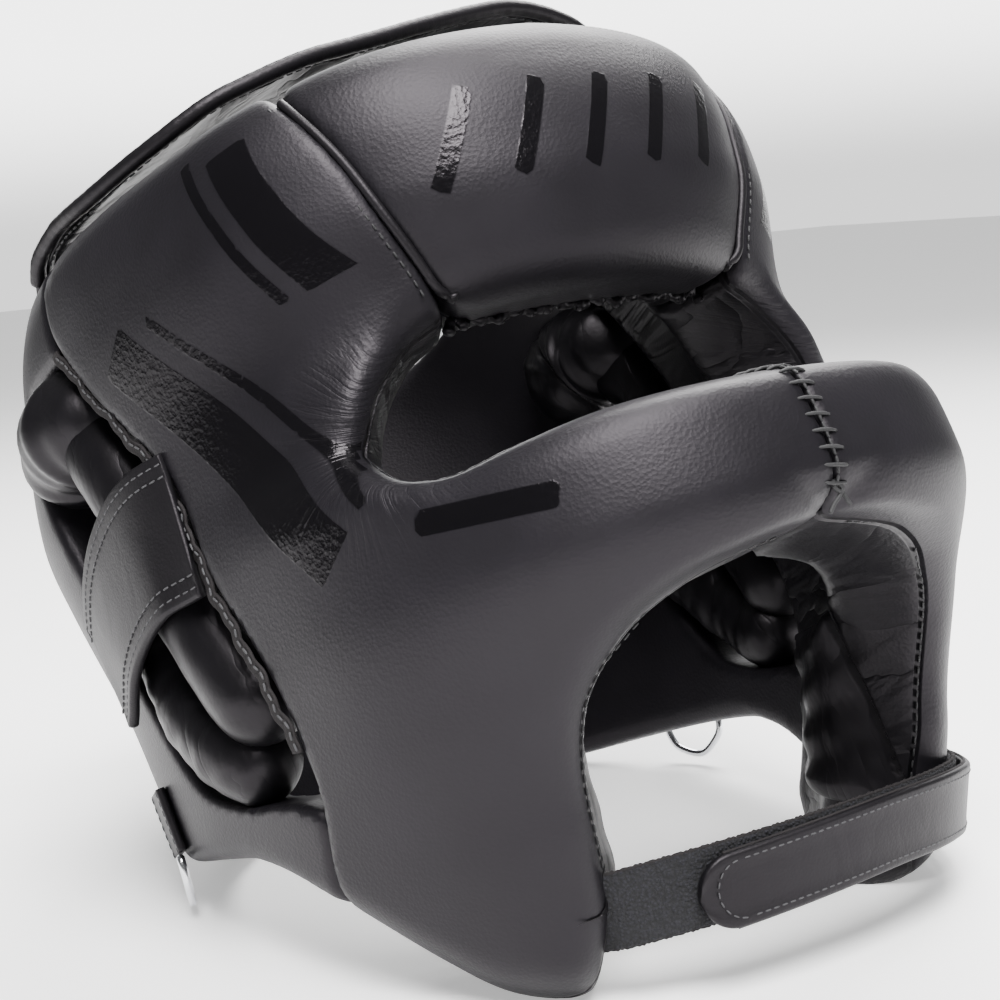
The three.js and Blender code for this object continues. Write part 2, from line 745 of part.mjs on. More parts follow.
function cheekLiningGeometry() {
  return slab((u, v, w) => {
    const y = THREE.MathUtils.lerp(-earEdgeReach - padRounding / 2, -liningReach, u);
    const low = THREE.MathUtils.lerp(2.4, 1.1, u) * padRounding;
    const point = insidePanel(y, THREE.MathUtils.lerp(low, mouthTop * 0.82, v), 2 * fitGap);
    return point.addScaledVector(new THREE.Vector3(1, 0.6 * u, 0).normalize(), liningThickness * (1 - w));
  }, 6, 6);
}

// Chin strap and the leather tab that closes over it
const chinRise = curve(chinRows, 'angle', 'rise');
const chinLift = curve(chinRows, 'angle', 'lift');

function chinStops(from, to, outward, drop, count) {
  return shares(count).map((share) => {
    const angle = THREE.MathUtils.lerp(from, to, share);
    const z = strapHeight + strapWidth * chinRise(angle) - drop;
    const point = onShell(angle, z, chinLift(angle) + outward);
    return { point, normal: shellNormal(point) };
  });
}

function chinStrapGeometry() {
  const first = chinRows[0].angle;
  const last = chinRows[chinRows.length - 1].angle;
  return strap(chinStops(first, last, 0, 0, 10), strapWidth, leather, 14);
}

function chinTabGeometry() {
  const last = chinRows[chinRows.length - 1].angle;
  return strap(chinStops(-18, last, leather + 3 * fitGap, tabDrop, 10), tabWidth, leather, 14);
}

// Closing strap across the slot at the back of the head
function napeStrapGeometry() {
  const z = napeHeight + napeStrapWidth;
  return slab((u, v, w) => {
    const half = THREE.MathUtils.lerp(-1, 1, u) * napeStrapHalfLength;
    const angle = 180 + half / (backReach * degrees);
    return onShell(angle, z + napeStrapWidth * (v - 0.5), -1 + leather * w);
  }, 14, 2);
}

// Ring tab and ring at the rear lower corner
const ringAngle = 113;

function ringTabGeometry() {
  const z = lowerEdge(ringAngle) + ringTabLift;
  return slab((u, v, w) => {
    const angle = -ringAngle + (ringTabWidth * (u - 0.5)) / (halfWidth * degrees);
    return onShell(angle, z + ringTabLength * (0.5 - v), -1.5 + leather * w);
  }, 2, 2);
}

function ringGeometry() {
  const centre = onShell(-ringAngle, lowerEdge(ringAngle) + ringTabLift - ringTabLength / 2, leather / 2 - 1);
  centre.z -= ringWire + 2 * fitGap;
  const out = new THREE.Vector3(-Math.sin(ringAngle * degrees), -Math.cos(ringAngle * degrees), 0);
  const along = new THREE.Vector3(0, 0, 1).cross(out);
  const path = [[-0.5, 0], [0, 0], [0.5, 0], [0.42, -0.62], [0, -1], [-0.42, -0.62]].map(([a, b]) => {
    const point = centre.clone().addScaledVector(along, a * ringWidth);
    return point.setZ(centre.z + b * ringDepth);
  });
  return rope(path, ringWire, 18, true);
}

// Materials
function leatherOf(color, roughness) {
  return new THREE.MeshStandardMaterial({ color, roughness, metalness: 0 });
}

const matte = leatherOf(0x1b1b1d, 0.55);
const smooth = leatherOf(0x121213, 0.4);
const trim = leatherOf(0x171618, 0.45);
const pile = leatherOf(0x101113, 0.95);
const chrome = new THREE.MeshStandardMaterial({ color: 0xb9bcc2, roughness: 0.2, metalness: 1 });

// The solids that rest are kept apart until the resting plane is known
const shellPieces = [
  ['forehead_pad', surfaceOf(foreheadField), matte],
  ['side_panel_right', surfaceOf(sidePanelField), matte],
  ['rear_panel_right', surfaceOf(rearPanelField), matte],
];
const trimPieces = [
  ['brow_piping_right', pipingGeometry(), trim],
  ['ear_front_roll_right', frontRollGeometry(), smooth],
  ['ear_rear_roll_right', rearRollGeometry(), smooth],
  ['ear_cover_right', coverGeometry(), smooth],
  ['ear_band_right', earBandGeometry(), trim],
  ['cheek_lining_right', cheekLiningGeometry(), smooth],
  ['ring_tab_right', ringTabGeometry(), trim],
  ['ring_right', ringGeometry(), chrome],
];
const singlePieces = [
  ['crown_band', crownBandGeometry(), smooth],
  ['crown_binding', crownBindingGeometry(), trim],
  ['chin_strap', chinStrapGeometry(), pile],
  ['chin_tab', chinTabGeometry(), trim],
  ['nape_strap', napeStrapGeometry(), trim],
];

// Lowest height of a mesh once the headgear leans back by an angle
function lowest(geometry, lean) {
  const at = geometry.getAttribute('position');
  let low = Infinity;
  for (let v = 0; v < at.count; v += 1) {
    low = Math.min(low, at.getZ(v) * Math.cos(lean) - at.getY(v) * Math.sin(lean));
  }
  return low;
}

function restingLean(front, back) {
  let less = 0;
  let more = 45 * degrees;
  for (let step = 0; step < 40; step += 1) {
    const lean = (less + more) / 2;
    if (lowest(back, lean) > lowest(front, lean)) less = lean;
    else more = lean;
  }
  return (less + more) / 2;
}

const sideGeometry = shellPieces[1][1];
const rearGeometry = shellPieces[2][1];
const lean = restingLean(sideGeometry, rearGeometry);
const floor = lowest(sideGeometry, lean) + restFlat;

// Everything under the resting plane is pressed flat
function pressedFlat(geometry) {
  const at = geometry.getAttribute('position');
  const up = new THREE.Vector3(0, -Math.sin(lean), Math.cos(lean));
  for (let v = 0; v < at.count; v += 1) {
    const point = new THREE.Vector3().fromBufferAttribute(at, v);
    point.addScaledVector(up, Math.max(floor - point.dot(up), 0));
    at.setXYZ(v, point.x, point.y, point.z);
  }
  return geometry;
}

const headgear = new THREE.Group();
headgear.name = 'headgear';

function place(name, geometry, material) {
  const mesh = new THREE.Mesh(geometry, material);
  mesh.name = name;
  headgear.add(mesh);
}

for (const [name, geometry, material] of shellPieces) {
  const pressed = pressedFlat(geometry);
  place(name, pressed, material);
  if (name.endsWith('_right')) place(name.replace('_right', '_left'), mirrored(pressed), material);
}
for (const [name, geometry, material] of trimPieces) {
  place(name, geometry, material);
  place(name.replace('_right', '_left'), mirrored(geometry), material);
}
for (const [name, geometry, material] of singlePieces) place(name, geometry, material);

headgear.rotation.x = -lean;
headgear.updateMatrixWorld(true);
const box = new THREE.Box3().setFromObject(headgear, true);
headgear.position.set(-(box.min.x + box.max.x) / 2, -(box.min.y + box.max.y) / 2, -floor);

const part = new THREE.Group();
part.add(headgear);
part.updateMatrixWorld(true);

export default part;
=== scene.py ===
import bpy
import math
import numpy as np
from mathutils import Matrix


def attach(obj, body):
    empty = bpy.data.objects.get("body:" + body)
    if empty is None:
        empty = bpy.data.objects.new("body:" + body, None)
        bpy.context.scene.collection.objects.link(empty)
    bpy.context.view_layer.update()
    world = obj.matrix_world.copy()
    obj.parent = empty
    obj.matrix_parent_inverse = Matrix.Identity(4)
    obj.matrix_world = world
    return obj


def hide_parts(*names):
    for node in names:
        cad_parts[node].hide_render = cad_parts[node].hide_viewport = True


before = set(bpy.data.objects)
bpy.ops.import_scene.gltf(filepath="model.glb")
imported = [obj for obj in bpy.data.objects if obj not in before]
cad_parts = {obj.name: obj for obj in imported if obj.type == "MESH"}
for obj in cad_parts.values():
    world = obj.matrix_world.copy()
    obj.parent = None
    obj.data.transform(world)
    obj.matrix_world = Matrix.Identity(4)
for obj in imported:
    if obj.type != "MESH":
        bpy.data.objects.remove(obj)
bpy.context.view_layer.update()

bl_info = {
    "name": "Boxing headgear",
    "version": (1, 0, 0),
    "blender": (4, 5, 0),
    "location": "3D View > Sidebar > Headgear",
    "description": "Dresses the packed boxing headgear in padded leather, lacing and stitches",
    "category": "Object",
}

MM = 0.001
BODY = "root"

# The wearer's frame: millimetres, Z = 0 at the jaw tips, the face towards -Y, +X on the wearer's left.
# The headgear leans back from it onto its jaw tips and nape.
LEAN = math.radians(22.772412)
SHIFT = np.array([0.0, -40.9475, -29.0517])

# Outer size of the padded shell
SHELL_HEIGHT = 265.0
HALF_WIDTH = 114.0
FOREHEAD_REACH = 127.0
BAR_REACH = 176.0
BACK_REACH = 134.0
CROWN_START = 225.0
CROWN_RISE = 72.0
FRONT_FULLNESS = 2.55
BACK_FULLNESS = 2.2
CROWN_FULLNESS = 2.2

# Padding
FOREHEAD_THICKNESS = 34.0
BAR_THICKNESS = 42.0
CHEEK_THICKNESS = 32.0
TEMPLE_THICKNESS = 28.0
REAR_THICKNESS = 20.0
FOREHEAD_CROWNING = 9.0
PAD_ROUNDING = 14.0
TOP_ROUNDING = 16.0
SEAM_ROUNDING = 4.0
SEAM_GAP = 0.3
ARC_PER_DEGREE = 1.9

# Openings
BROW_HEIGHT = 180.0
BAR_TOP = 138.0
EYE_CORNER_HEIGHT = 149.0
EYE_HALF_ANGLE = 50.0
EYE_CORNER_ANGLE = 41.0
MOUTH_TOP = 94.0
MOUTH_HALF_ANGLE = 27.0
NAPE_HEIGHT = 74.0
FOREHEAD_SEAM_ANGLE = 25.0
EAR_EDGE_REACH = 59.0
EAR_HOLE_REACH = 60.0
EAR_HOLE_TOP = 220.0
REAR_SLOT = 14.0
REAR_BULGE = 11.0
REAR_BULGE_HEIGHT = 172.0
REAR_BULGE_ANGLE = 124.0
CROWN_BAND_RISE = 50.0

# The outer surface: height as a share of the shell, then width, forehead, bar and back shares
MOULD = [
    (-0.06, 0.74, 0.88, 0.0, 0.6), (0.04, 0.83, 0.96, 0.0, 0.69), (0.15, 0.91, 1.0, 0.18, 0.78),
    (0.28, 0.955, 1.0, 0.61, 0.86), (0.4, 0.97, 1.0, 1.0, 0.9), (0.49, 0.97, 1.0, 0.96, 0.93),
    (0.585, 0.965, 1.0, 0.14, 0.97), (0.68, 0.98, 0.945, 0.0, 1.0), (0.81, 1.0, 1.0, 0.0, 1.0),
    (0.925, 1.0, 0.99, 0.0, 0.98),
]
# Eye opening: angle share, top and bottom edge shares
EYE = [(0, 1, 1), (0.3, 1, 1.15), (0.5, 0.94, 1.45), (0.62, 0.8, 1.6), (0.72, 0.52, 1.3),
       (0.82, 0.15, 0.6), (1, 0, 0)]
# Mouth opening: height share, half angle share
MOUTH = [(-0.32, 1.41), (0, 1.19), (0.21, 1.04), (0.53, 1), (0.69, 0.94), (0.85, 0.74),
         (0.94, 0.46), (1, 0)]
# Lower edge: angle, share of the nape height; upper edge: angle, share of the shell height
LOWER = [(0, -0.4), (30, -0.13), (40, -0.02), (46, 0.05), (53, 0.19), (61, 0.38), (68, 0.54),
         (79, 0.72), (88, 0.8), (115, 0.88), (145, 0.93), (180, 1)]
UPPER = [(0, 1), (38, 0.98), (60, 0.962), (75, 0.962), (90, 0.966), (110, 0.96), (130, 0.92),
         (150, 0.86), (180, 0.83)]
# Forehead seam: share of the way from brow to top, angle share
SEAM = [(-0.3, 0.95), (0, 1.02), (0.34, 1.2), (0.56, 1.32), (0.87, 1.56), (1.3, 2)]
# Ear opening: height share, front edge, rear edge
EAR = [
    (0.11, 0.68, -0.95), (0.19, 0.85, -0.93), (0.235, 0.95, -0.9), (0.255, 0.98, -0.75),
    (0.275, 1, -0.3), (0.31, 1, 0.04), (0.35, 0.98, 0.18), (0.42, 0.88, 0.34), (0.46, 0.8, 0.42),
    (0.55, 0.66, 0.55), (0.64, 0.53, 0.64), (0.7, 0.37, 0.72), (0.77, 0.15, 0.82), (0.87, -0.14, 0.85),
    (1.02, -0.24, 0.8),
]
# Routes over the side of the head: y and height shares, lift as a share of the radius
FRONT_ROLL = [(0.42, 0.775, -0.95), (0.14, 0.7, -0.62), (-0.06, 0.61, -0.66), (-0.22, 0.52, -0.66),
              (-0.45, 0.42, -0.72), (-0.66, 0.33, -0.85)]
REAR_ROLL = [(0.53, 0.595, -1.4), (0.33, 0.495, -1.1), (0.06, 0.4, -0.8), (-0.22, 0.335, -0.75),
             (-0.5, 0.29, -1.05)]
EAR_COVER = [(0.04, 0.735, -0.75), (0.3, 0.76, -0.56), (0.6, 0.755, -0.56), (0.9, 0.71, -0.88)]
EAR_BAND = [(-0.62, 0.575, 0.07), (-0.36, 0.57, 0.39), (-0.05, 0.55, 0.45), (0.25, 0.52, 0.4),
            (0.56, 0.48, 0.3)]
# Crown band: share from the middle to the foot, x, front and rear edges, rise of both
CROWN = [
    (0, 0, -1.02, 0.25, 0.86, 0.9), (0.2, 0.29, -1.02, 0.3, 0.85, 0.88),
    (0.42, 0.58, -0.95, 0.5, 0.72, 0.7), (0.62, 0.78, -0.66, 0.78, 0.48, 0.44),
    (0.8, 0.875, -0.06, 1.05, 0.3, 0.2), (0.92, 0.885, 0.4, 1.22, 0.24, 0.04),
    (1, 0.865, 0.68, 1.3, 0.1, -0.06),
]
CROWN_TAPER = 0.17
CROWN_FOOT = 247.8
# The band sags towards the wearer's right
CROWN_SAG = 0.2
CROWN_SAG_SPAN = 0.84
# Chin strap: angle, rise as a share of its width, lift; then the angles where it and its tab begin and end
CHIN = [(-40, -0.1, -22), (-28, -0.05, -7.1), (-12, -0.02, -5), (0, 0.03, -3), (12, 0.1, -1.5),
        (24, 0.2, 1), (36, 0.34, 2.4), (50, 0.6, 2.4), (62, 0.95, 2.4)]
CHIN_HEIGHT = 16.0
STRAP_START, TAB_START, STRAP_END = -37, -18, 62
# How far the strap and the tab sag, at some angles from the near end to the far end
DROP_ANGLES = (-28, 12, 45, 62)
PILE_DROPS = (1.5, 4.0, 5.0, 2.0)
TAB_DROPS = (4.0, 4.0, 5.5, 6.5)
TAB_SEAM = 2.4

# Thickness of single leather and of the crown band, radii of cords and bindings
LEATHER = 2.5
CROWN_BAND_THICKNESS = 3.0
PIPING_RADIUS = 1.4
CROWN_BINDING_RADIUS = 2.6
REAR_BINDING_RADIUS = 3.4
LINING_EDGE_RADIUS = 1.5
RIM_RADIUS = 0.55

# Soft rolls at the ear: route, radius, points along, ripple, lumps, width share
ROLLS = {
    "ear_front_roll": (FRONT_ROLL, 14.0, 110, 0.01, 24.0, 1.0),
    "ear_rear_roll": (REAR_ROLL, 13.0, 90, 0.02, 34.0, 1.0),
    "ear_cover": (EAR_COVER, 24.0, 90, 0.03, 20.0, 0.82),
}
EAR_BAND_LIFT = 15.4
EAR_BAND_SEAMS = (3.2, 7.0)
RAW_EDGE_HEIGHTS = (80, 222)
RAW_EDGE_WIDTH, RAW_EDGE_THICKNESS = 4.2, 1.1

# Nape strap, and the ring in its tab
NAPE_STRAP_HALF_ANGLE = 26.5
NAPE_SEAMS = (0.06, 0.94)
RING_ANGLE = 113.0
RING_TAB_SIZE = 20.0
RING_TAB_LIFT = 15.0
RING_WIDTH, RING_DROP, RING_RADIUS = 20.0, 13.0, 1.3
# Outline of the ring as shares of its width and drop
RING = [(-0.5, 0), (-0.25, 0), (0, 0), (0.25, 0), (0.5, 0), (0.52, -0.3), (0.4, -0.68), (0, -1),
        (-0.4, -0.68), (-0.52, -0.3)]

# Stitches: length, pitch and thread radius
STITCHES = {
    "lining": (2.3, 3.4, 0.34), "brow": (2.1, 3.1, 0.34), "band": (2.2, 3.2, 0.33),
    "edge": (2.4, 3.2, 0.32), "crown": (2.4, 3.5, 0.36), "nape": (2.3, 3.3, 0.34),
    "tab": (1.7, 2.6, 0.24), "ring": (2.0, 3.0, 0.3), "lace": (8.4, 4.6, 0.55), "core": (4.6, 4.6, 0.5),
}
LACE_SLANT = math.radians(82)

# The lining inside the panels: where the outer leather ends, how far in the cheek lining reaches
LINING_DEPTH = 8.0
BROW_LINING_DEPTH = 18.0
LINING_REACH = 68.0
LINING_FRONT = 104.0
LINING_PUFF = 7.0

# Gloss stripes: start y and height, end y and height, half width
SIDE_STRIPES = [
    (-31, 207, -97, 121, 8.5), (-50, 209, -110, 131, 1.6), (-122, 121, -154, 115, 3.4),
    (-88, 241, -101, 196, 5.2), (-76, 243, -91, 194, 1.5),
]
# Brow bars: middles, half width, heights of both ends, slant
BROW_BARS = (-44, -22, 0, 22, 44)
BROW_BAR_HALF_WIDTH = 2.6
BROW_BAR_ENDS = (209, 237)
BROW_BAR_SLANT = 7.0
NO_STRIPE = -20.0

# Boxes that hold the panels, and the cell of their meshes
CELL = 2.3
FOREHEAD_BOX = (-82, -150, 150), (82, -50, 285)
SIDE_BOX = (-HALF_WIDTH - 6, -190, -22), (4, 30, 272)
REAR_BOX = (-HALF_WIDTH - 6, -75, 30), (4, 145, 262)

# Leathers: material, colour in the sidebar, then roughness, grain, its depth and that of the folds in mm
LEATHERS = {
    "matte": ("matte_leather", "leather", {"roughness": 0.46}),
    "panel": ("panel_leather", "leather",
              {"roughness": 0.46, "striped": True, "creased": True, "lined": True}),
    "brow": ("brow_leather", "leather", {"roughness": 0.46, "striped": True, "lined": True}),
    "smooth": ("smooth_leather", "lining", {"roughness": 0.4, "grain": 1.6, "depth": 0.05, "folds": 0.7}),
    "lining": ("lining_leather", "lining", {"roughness": 0.42, "grain": 1.8, "depth": 0.05, "folds": 1.2}),
    "trim": ("trim_leather", "trim", {"roughness": 0.46, "grain": 0.9, "depth": 0.07, "folds": 0.2}),
    "edge": ("raw_edge", "edge", {"roughness": 0.8, "grain": 0.7, "depth": 0.2}),
}
SHEEN_LEVEL = 0.2
SHEEN_TINT = (1.0, 0.93, 1.0, 1.0)
STRIPE_ROUGHNESS = 0.19
CREASE_PLACE = (-110.0, EYE_CORNER_HEIGHT)

# The white backdrop behind the headgear is brighter than the rest of the room, and dims at the horizon
BACKDROP_SIDE = (0.56, 0.83, 0.0)
BACKDROP_SPREAD = (0.8, 0.94)
BACKDROP_LIGHT = 4.5
ROOM_LIGHT = 0.2
HORIZON_LIGHT = 0.32
HORIZON_HEIGHT = 0.09
FLOOR_GLOW = 0.5
FLOOR_REACH = 6.0
# Soft lights: place, what it points at, size, power
LIGHTS = {
    "key": ((-0.25, -0.6, 1.3), (0, -0.05, 0.14), 0.8, 72.0),
    "top": ((0.65, 0.45, 1.2), (0, 0, 0.2), 0.9, 52.0),
}
LIGHT_COLOR = (1.0, 0.99, 0.985)

# Camera, solved from the photograph's outlines in the wearer's frame
CAMERA_RIGHT = (0.815107, -0.495507, -0.300122)
CAMERA_DOWN = (-0.152064, 0.316894, -0.936192)
CAMERA_FORWARD = (0.558997, 0.808734, 0.182954)
CAMERA_PLACE = (-348.919, -535.680, 29.658)
CAMERA_LENS = 72.0


def curve(rows, column=1):
    """Smooth curve through two columns of a table, without overshoot."""
    xs = np.array([row[0] for row in rows], float)
    ys = np.array([row[column] for row in rows], float)
    secants = np.diff(ys) / np.diff(xs)
    before = np.concatenate([secants[:1], secants])
    after = np.concatenate([secants, secants[-1:]])
    level = before * after <= 0
    slopes = np.where(level, 0, 2 * before * after / np.where(level, 1, before + after))

    def at(x):
        x = np.clip(x, xs[0], xs[-1])
        i = np.clip(np.searchsorted(xs, x) - 1, 0, len(xs) - 2)
        span = xs[i + 1] - xs[i]
        t = (x - xs[i]) / span
        start = ys[i] * (1 + 2 * t) * (1 - t) ** 2 + slopes[i] * span * t * (1 - t) ** 2
        return start + ys[i + 1] * t * t * (3 - 2 * t) + slopes[i + 1] * span * t * t * (t - 1)

    return at


width_at, forehead_at, bar_at, back_at = (curve(MOULD, column) for column in (1, 2, 3, 4))
eye_top_share, eye_bottom_share = curve(EYE, 1), curve(EYE, 2)
mouth_share, lower_share, upper_share, seam_share = curve(MOUTH), curve(LOWER), curve(UPPER), curve(SEAM)
ear_front_share, ear_rear_share = curve(EAR, 1), curve(EAR, 2)
thickness_at = curve([(0, BAR_THICKNESS), (60, CHEEK_THICKNESS), (100, TEMPLE_THICKNESS),
                      (135, REAR_THICKNESS), (180, REAR_THICKNESS)])
crown_curves = [curve(CROWN, column) for column in (1, 2, 3, 4, 5)]
chin_rise, chin_lift = curve(CHIN, 1), curve(CHIN, 2)


def smooth_max(a, b, rounding):
    h = np.clip(0.5 + 0.5 * (a - b) / rounding, 0, 1)
    return b + (a - b) * h + rounding * h * (1 - h)


def mould_level(x, y, z):
    share = z / SHELL_HEIGHT
    front = FOREHEAD_REACH * forehead_at(share) + (BAR_REACH - FOREHEAD_REACH) * bar_at(share)
    reach = np.where(y < 0, front, BACK_REACH * back_at(share))
    fullness = np.where(y < 0, FRONT_FULLNESS, BACK_FULLNESS)
    side = np.abs(x) / (HALF_WIDTH * width_at(share))
    crown = np.maximum(z - CROWN_START, 0) / CROWN_RISE
    total = side ** fullness + (np.abs(y) / reach) ** fullness + crown ** CROWN_FULLNESS
    return total ** (1 / fullness)


def gradient(function, x, y, z, step):
    return np.stack([
        (function(x + step, y, z) - function(x - step, y, z)) / (2 * step),
        (function(x, y + step, z) - function(x, y - step, z)) / (2 * step),
        (function(x, y, z + step) - function(x, y, z - step)) / (2 * step)], -1)


def unit(vectors):
    return vectors / np.maximum(np.linalg.norm(vectors, axis=-1, keepdims=True), 1e-9)


def shell_normal(points):
    return unit(gradient(mould_level, points[..., 0], points[..., 1], points[..., 2], 0.5))


def out_to_shell(origin, direction, furthest):
    """Points where rays from inside meet the outer surface."""
    inside = np.zeros(len(origin))
    outside = np.full(len(origin), furthest)
    for _ in range(40):
        middle = (inside + outside) / 2
        p = origin + direction * middle[:, None]
        under = mould_level(p[:, 0], p[:, 1], p[:, 2]) < 1
        inside = np.where(under, middle, inside)
        outside = np.where(under, outside, middle)
    return origin + direction * inside[:, None]


def on_shell(angle, z, lift=0.0):
    angle, z, lift = np.broadcast_arrays(*(np.atleast_1d(np.asarray(v, float)) for v in (angle, z, lift)))
    turn = np.radians(angle)
    origin = np.stack([0 * z, 0 * z, z], -1)
    direction = np.stack([np.sin(turn), -np.cos(turn), 0 * z], -1)
    points = out_to_shell(origin, direction, 2 * BAR_REACH)
    return points + shell_normal(points) * lift[:, None]


def on_side(y, z, lift=0.0):
    """Points on the wearer's right side, given by y and height."""
    y, z, lift = np.broadcast_arrays(*(np.atleast_1d(np.asarray(v, float)) for v in (y, z, lift)))
    origin = np.stack([0 * z, y, z], -1)
    direction = np.stack([-1 + 0 * z, 0 * z, 0 * z], -1)
    points = out_to_shell(origin, direction, 2 * HALF_WIDTH)
    return points + shell_normal(points) * lift[:, None]


def eye_top(angle):
    return EYE_CORNER_HEIGHT + (BROW_HEIGHT - EYE_CORNER_HEIGHT) * eye_top_share(angle / EYE_HALF_ANGLE)


def eye_bottom(angle):
    return EYE_CORNER_HEIGHT - (EYE_CORNER_HEIGHT - BAR_TOP) * eye_bottom_share(angle / EYE_HALF_ANGLE)


def mouth_angle(z):
    return MOUTH_HALF_ANGLE * mouth_share(z / MOUTH_TOP)


def lower_edge(angle):
    return NAPE_HEIGHT * lower_share(angle)


def upper_edge(angle):
    return SHELL_HEIGHT * upper_share(angle)


def seam_angle(z):
    return FOREHEAD_SEAM_ANGLE * seam_share((z - BROW_HEIGHT) / (SHELL_HEIGHT - BROW_HEIGHT))


def ear_front(z):
    return -EAR_EDGE_REACH * ear_front_share(z / SHELL_HEIGHT)


def ear_rear(z):
    return EAR_HOLE_REACH * ear_rear_share(z / SHELL_HEIGHT)


def measures(x, y, z):
    """Angle from the front, and distance to the outer surface."""
    slope = np.linalg.norm(gradient(mould_level, x, y, z, 2.5), axis=-1)
    distance = (mould_level(x, y, z) - 1) / np.maximum(slope, 0.002)
    return np.degrees(np.arctan2(np.abs(x), -y)), distance


def layer(distance, depth, thickness):
    return np.abs(distance + depth + thickness / 2) - thickness / 2


def forehead_field(x, y, z):
    angle, distance = measures(x, y, z)
    edge = seam_angle(z)
    crowning = FOREHEAD_CROWNING * (1 - np.minimum(angle / edge, 1) ** 2)
    field = layer(distance - crowning, 2, FOREHEAD_THICKNESS)
    field = smooth_max(field, (angle - edge) * ARC_PER_DEGREE + SEAM_GAP / 2, SEAM_ROUNDING)
    field = smooth_max(field, eye_top(angle) - z, PAD_ROUNDING)
    return smooth_max(field, z - upper_edge(angle), TOP_ROUNDING)


def dents(y, z):
    """Soft hollows and swellings of the padding."""
    return 0.9 * np.sin(0.055 * y + 0.04 * z + 0.6) * np.sin(0.047 * z - 0.03 * y + 1.1)


def bar_field(x, y, z):
    """One side panel, as if it went on past the middle of the bar."""
    angle, distance = measures(x, y, z)
    field = layer(distance + dents(y, z) * (distance > -10), 0, thickness_at(angle))
    eye_height = np.maximum(z - eye_top(angle), eye_bottom(angle) - z)
    eye = smooth_max(eye_height, (angle - EYE_CORNER_ANGLE) * ARC_PER_DEGREE, PAD_ROUNDING)
    mouth = np.maximum((angle - mouth_angle(z)) * ARC_PER_DEGREE, z - MOUTH_TOP)
    field = smooth_max(field, -eye, PAD_ROUNDING)
    field = smooth_max(field, -mouth, PAD_ROUNDING)
    field = smooth_max(field, lower_edge(angle) - z, PAD_ROUNDING)
    field = smooth_max(field, z - upper_edge(angle), TOP_ROUNDING)
    behind = smooth_max(field, y - ear_front(z), SEAM_ROUNDING)
    field = np.where(angle > EYE_HALF_ANGLE, behind, field)
    seam = smooth_max(field, (seam_angle(z) - angle) * ARC_PER_DEGREE + SEAM_GAP / 2, SEAM_ROUNDING)
    return np.where(z > EYE_CORNER_HEIGHT, seam, field)


def side_field(x, y, z):
    return smooth_max(bar_field(x, y, z), x + SEAM_GAP / 2, SEAM_ROUNDING / 2)


def settle(field, points):
    """Points moved onto the surface where a field is zero."""
    for _ in range(8):
        x, y, z = points.T
        slope = gradient(field, x, y, z, 0.6)
        points = points - slope * (field(x, y, z) / np.maximum((slope ** 2).sum(-1), 0.2))[:, None]
    return points


def rear_field(x, y, z):
    angle, distance = measures(x, y, z)
    bulge = REAR_BULGE * np.exp(-((z - REAR_BULGE_HEIGHT) / 46) ** 2 - ((angle - REAR_BULGE_ANGLE) / 26) ** 2)
    field = layer(distance - bulge, 2, REAR_THICKNESS - 2)
    field = smooth_max(field, ear_front(z) + 1 - y, SEAM_ROUNDING)
    field = smooth_max(field, lower_edge(angle) - z, PAD_ROUNDING / 2)
    field = smooth_max(field, z - upper_edge(angle), PAD_ROUNDING / 2)
    hole = smooth_max(y - ear_rear(z), z - EAR_HOLE_TOP, PAD_ROUNDING)
    field = smooth_max(field, -hole, SEAM_ROUNDING)
    field = smooth_max(field, x + REAR_SLOT / 2, SEAM_ROUNDING)
    return np.where(angle < EYE_HALF_ANGLE, HALF_WIDTH, field)


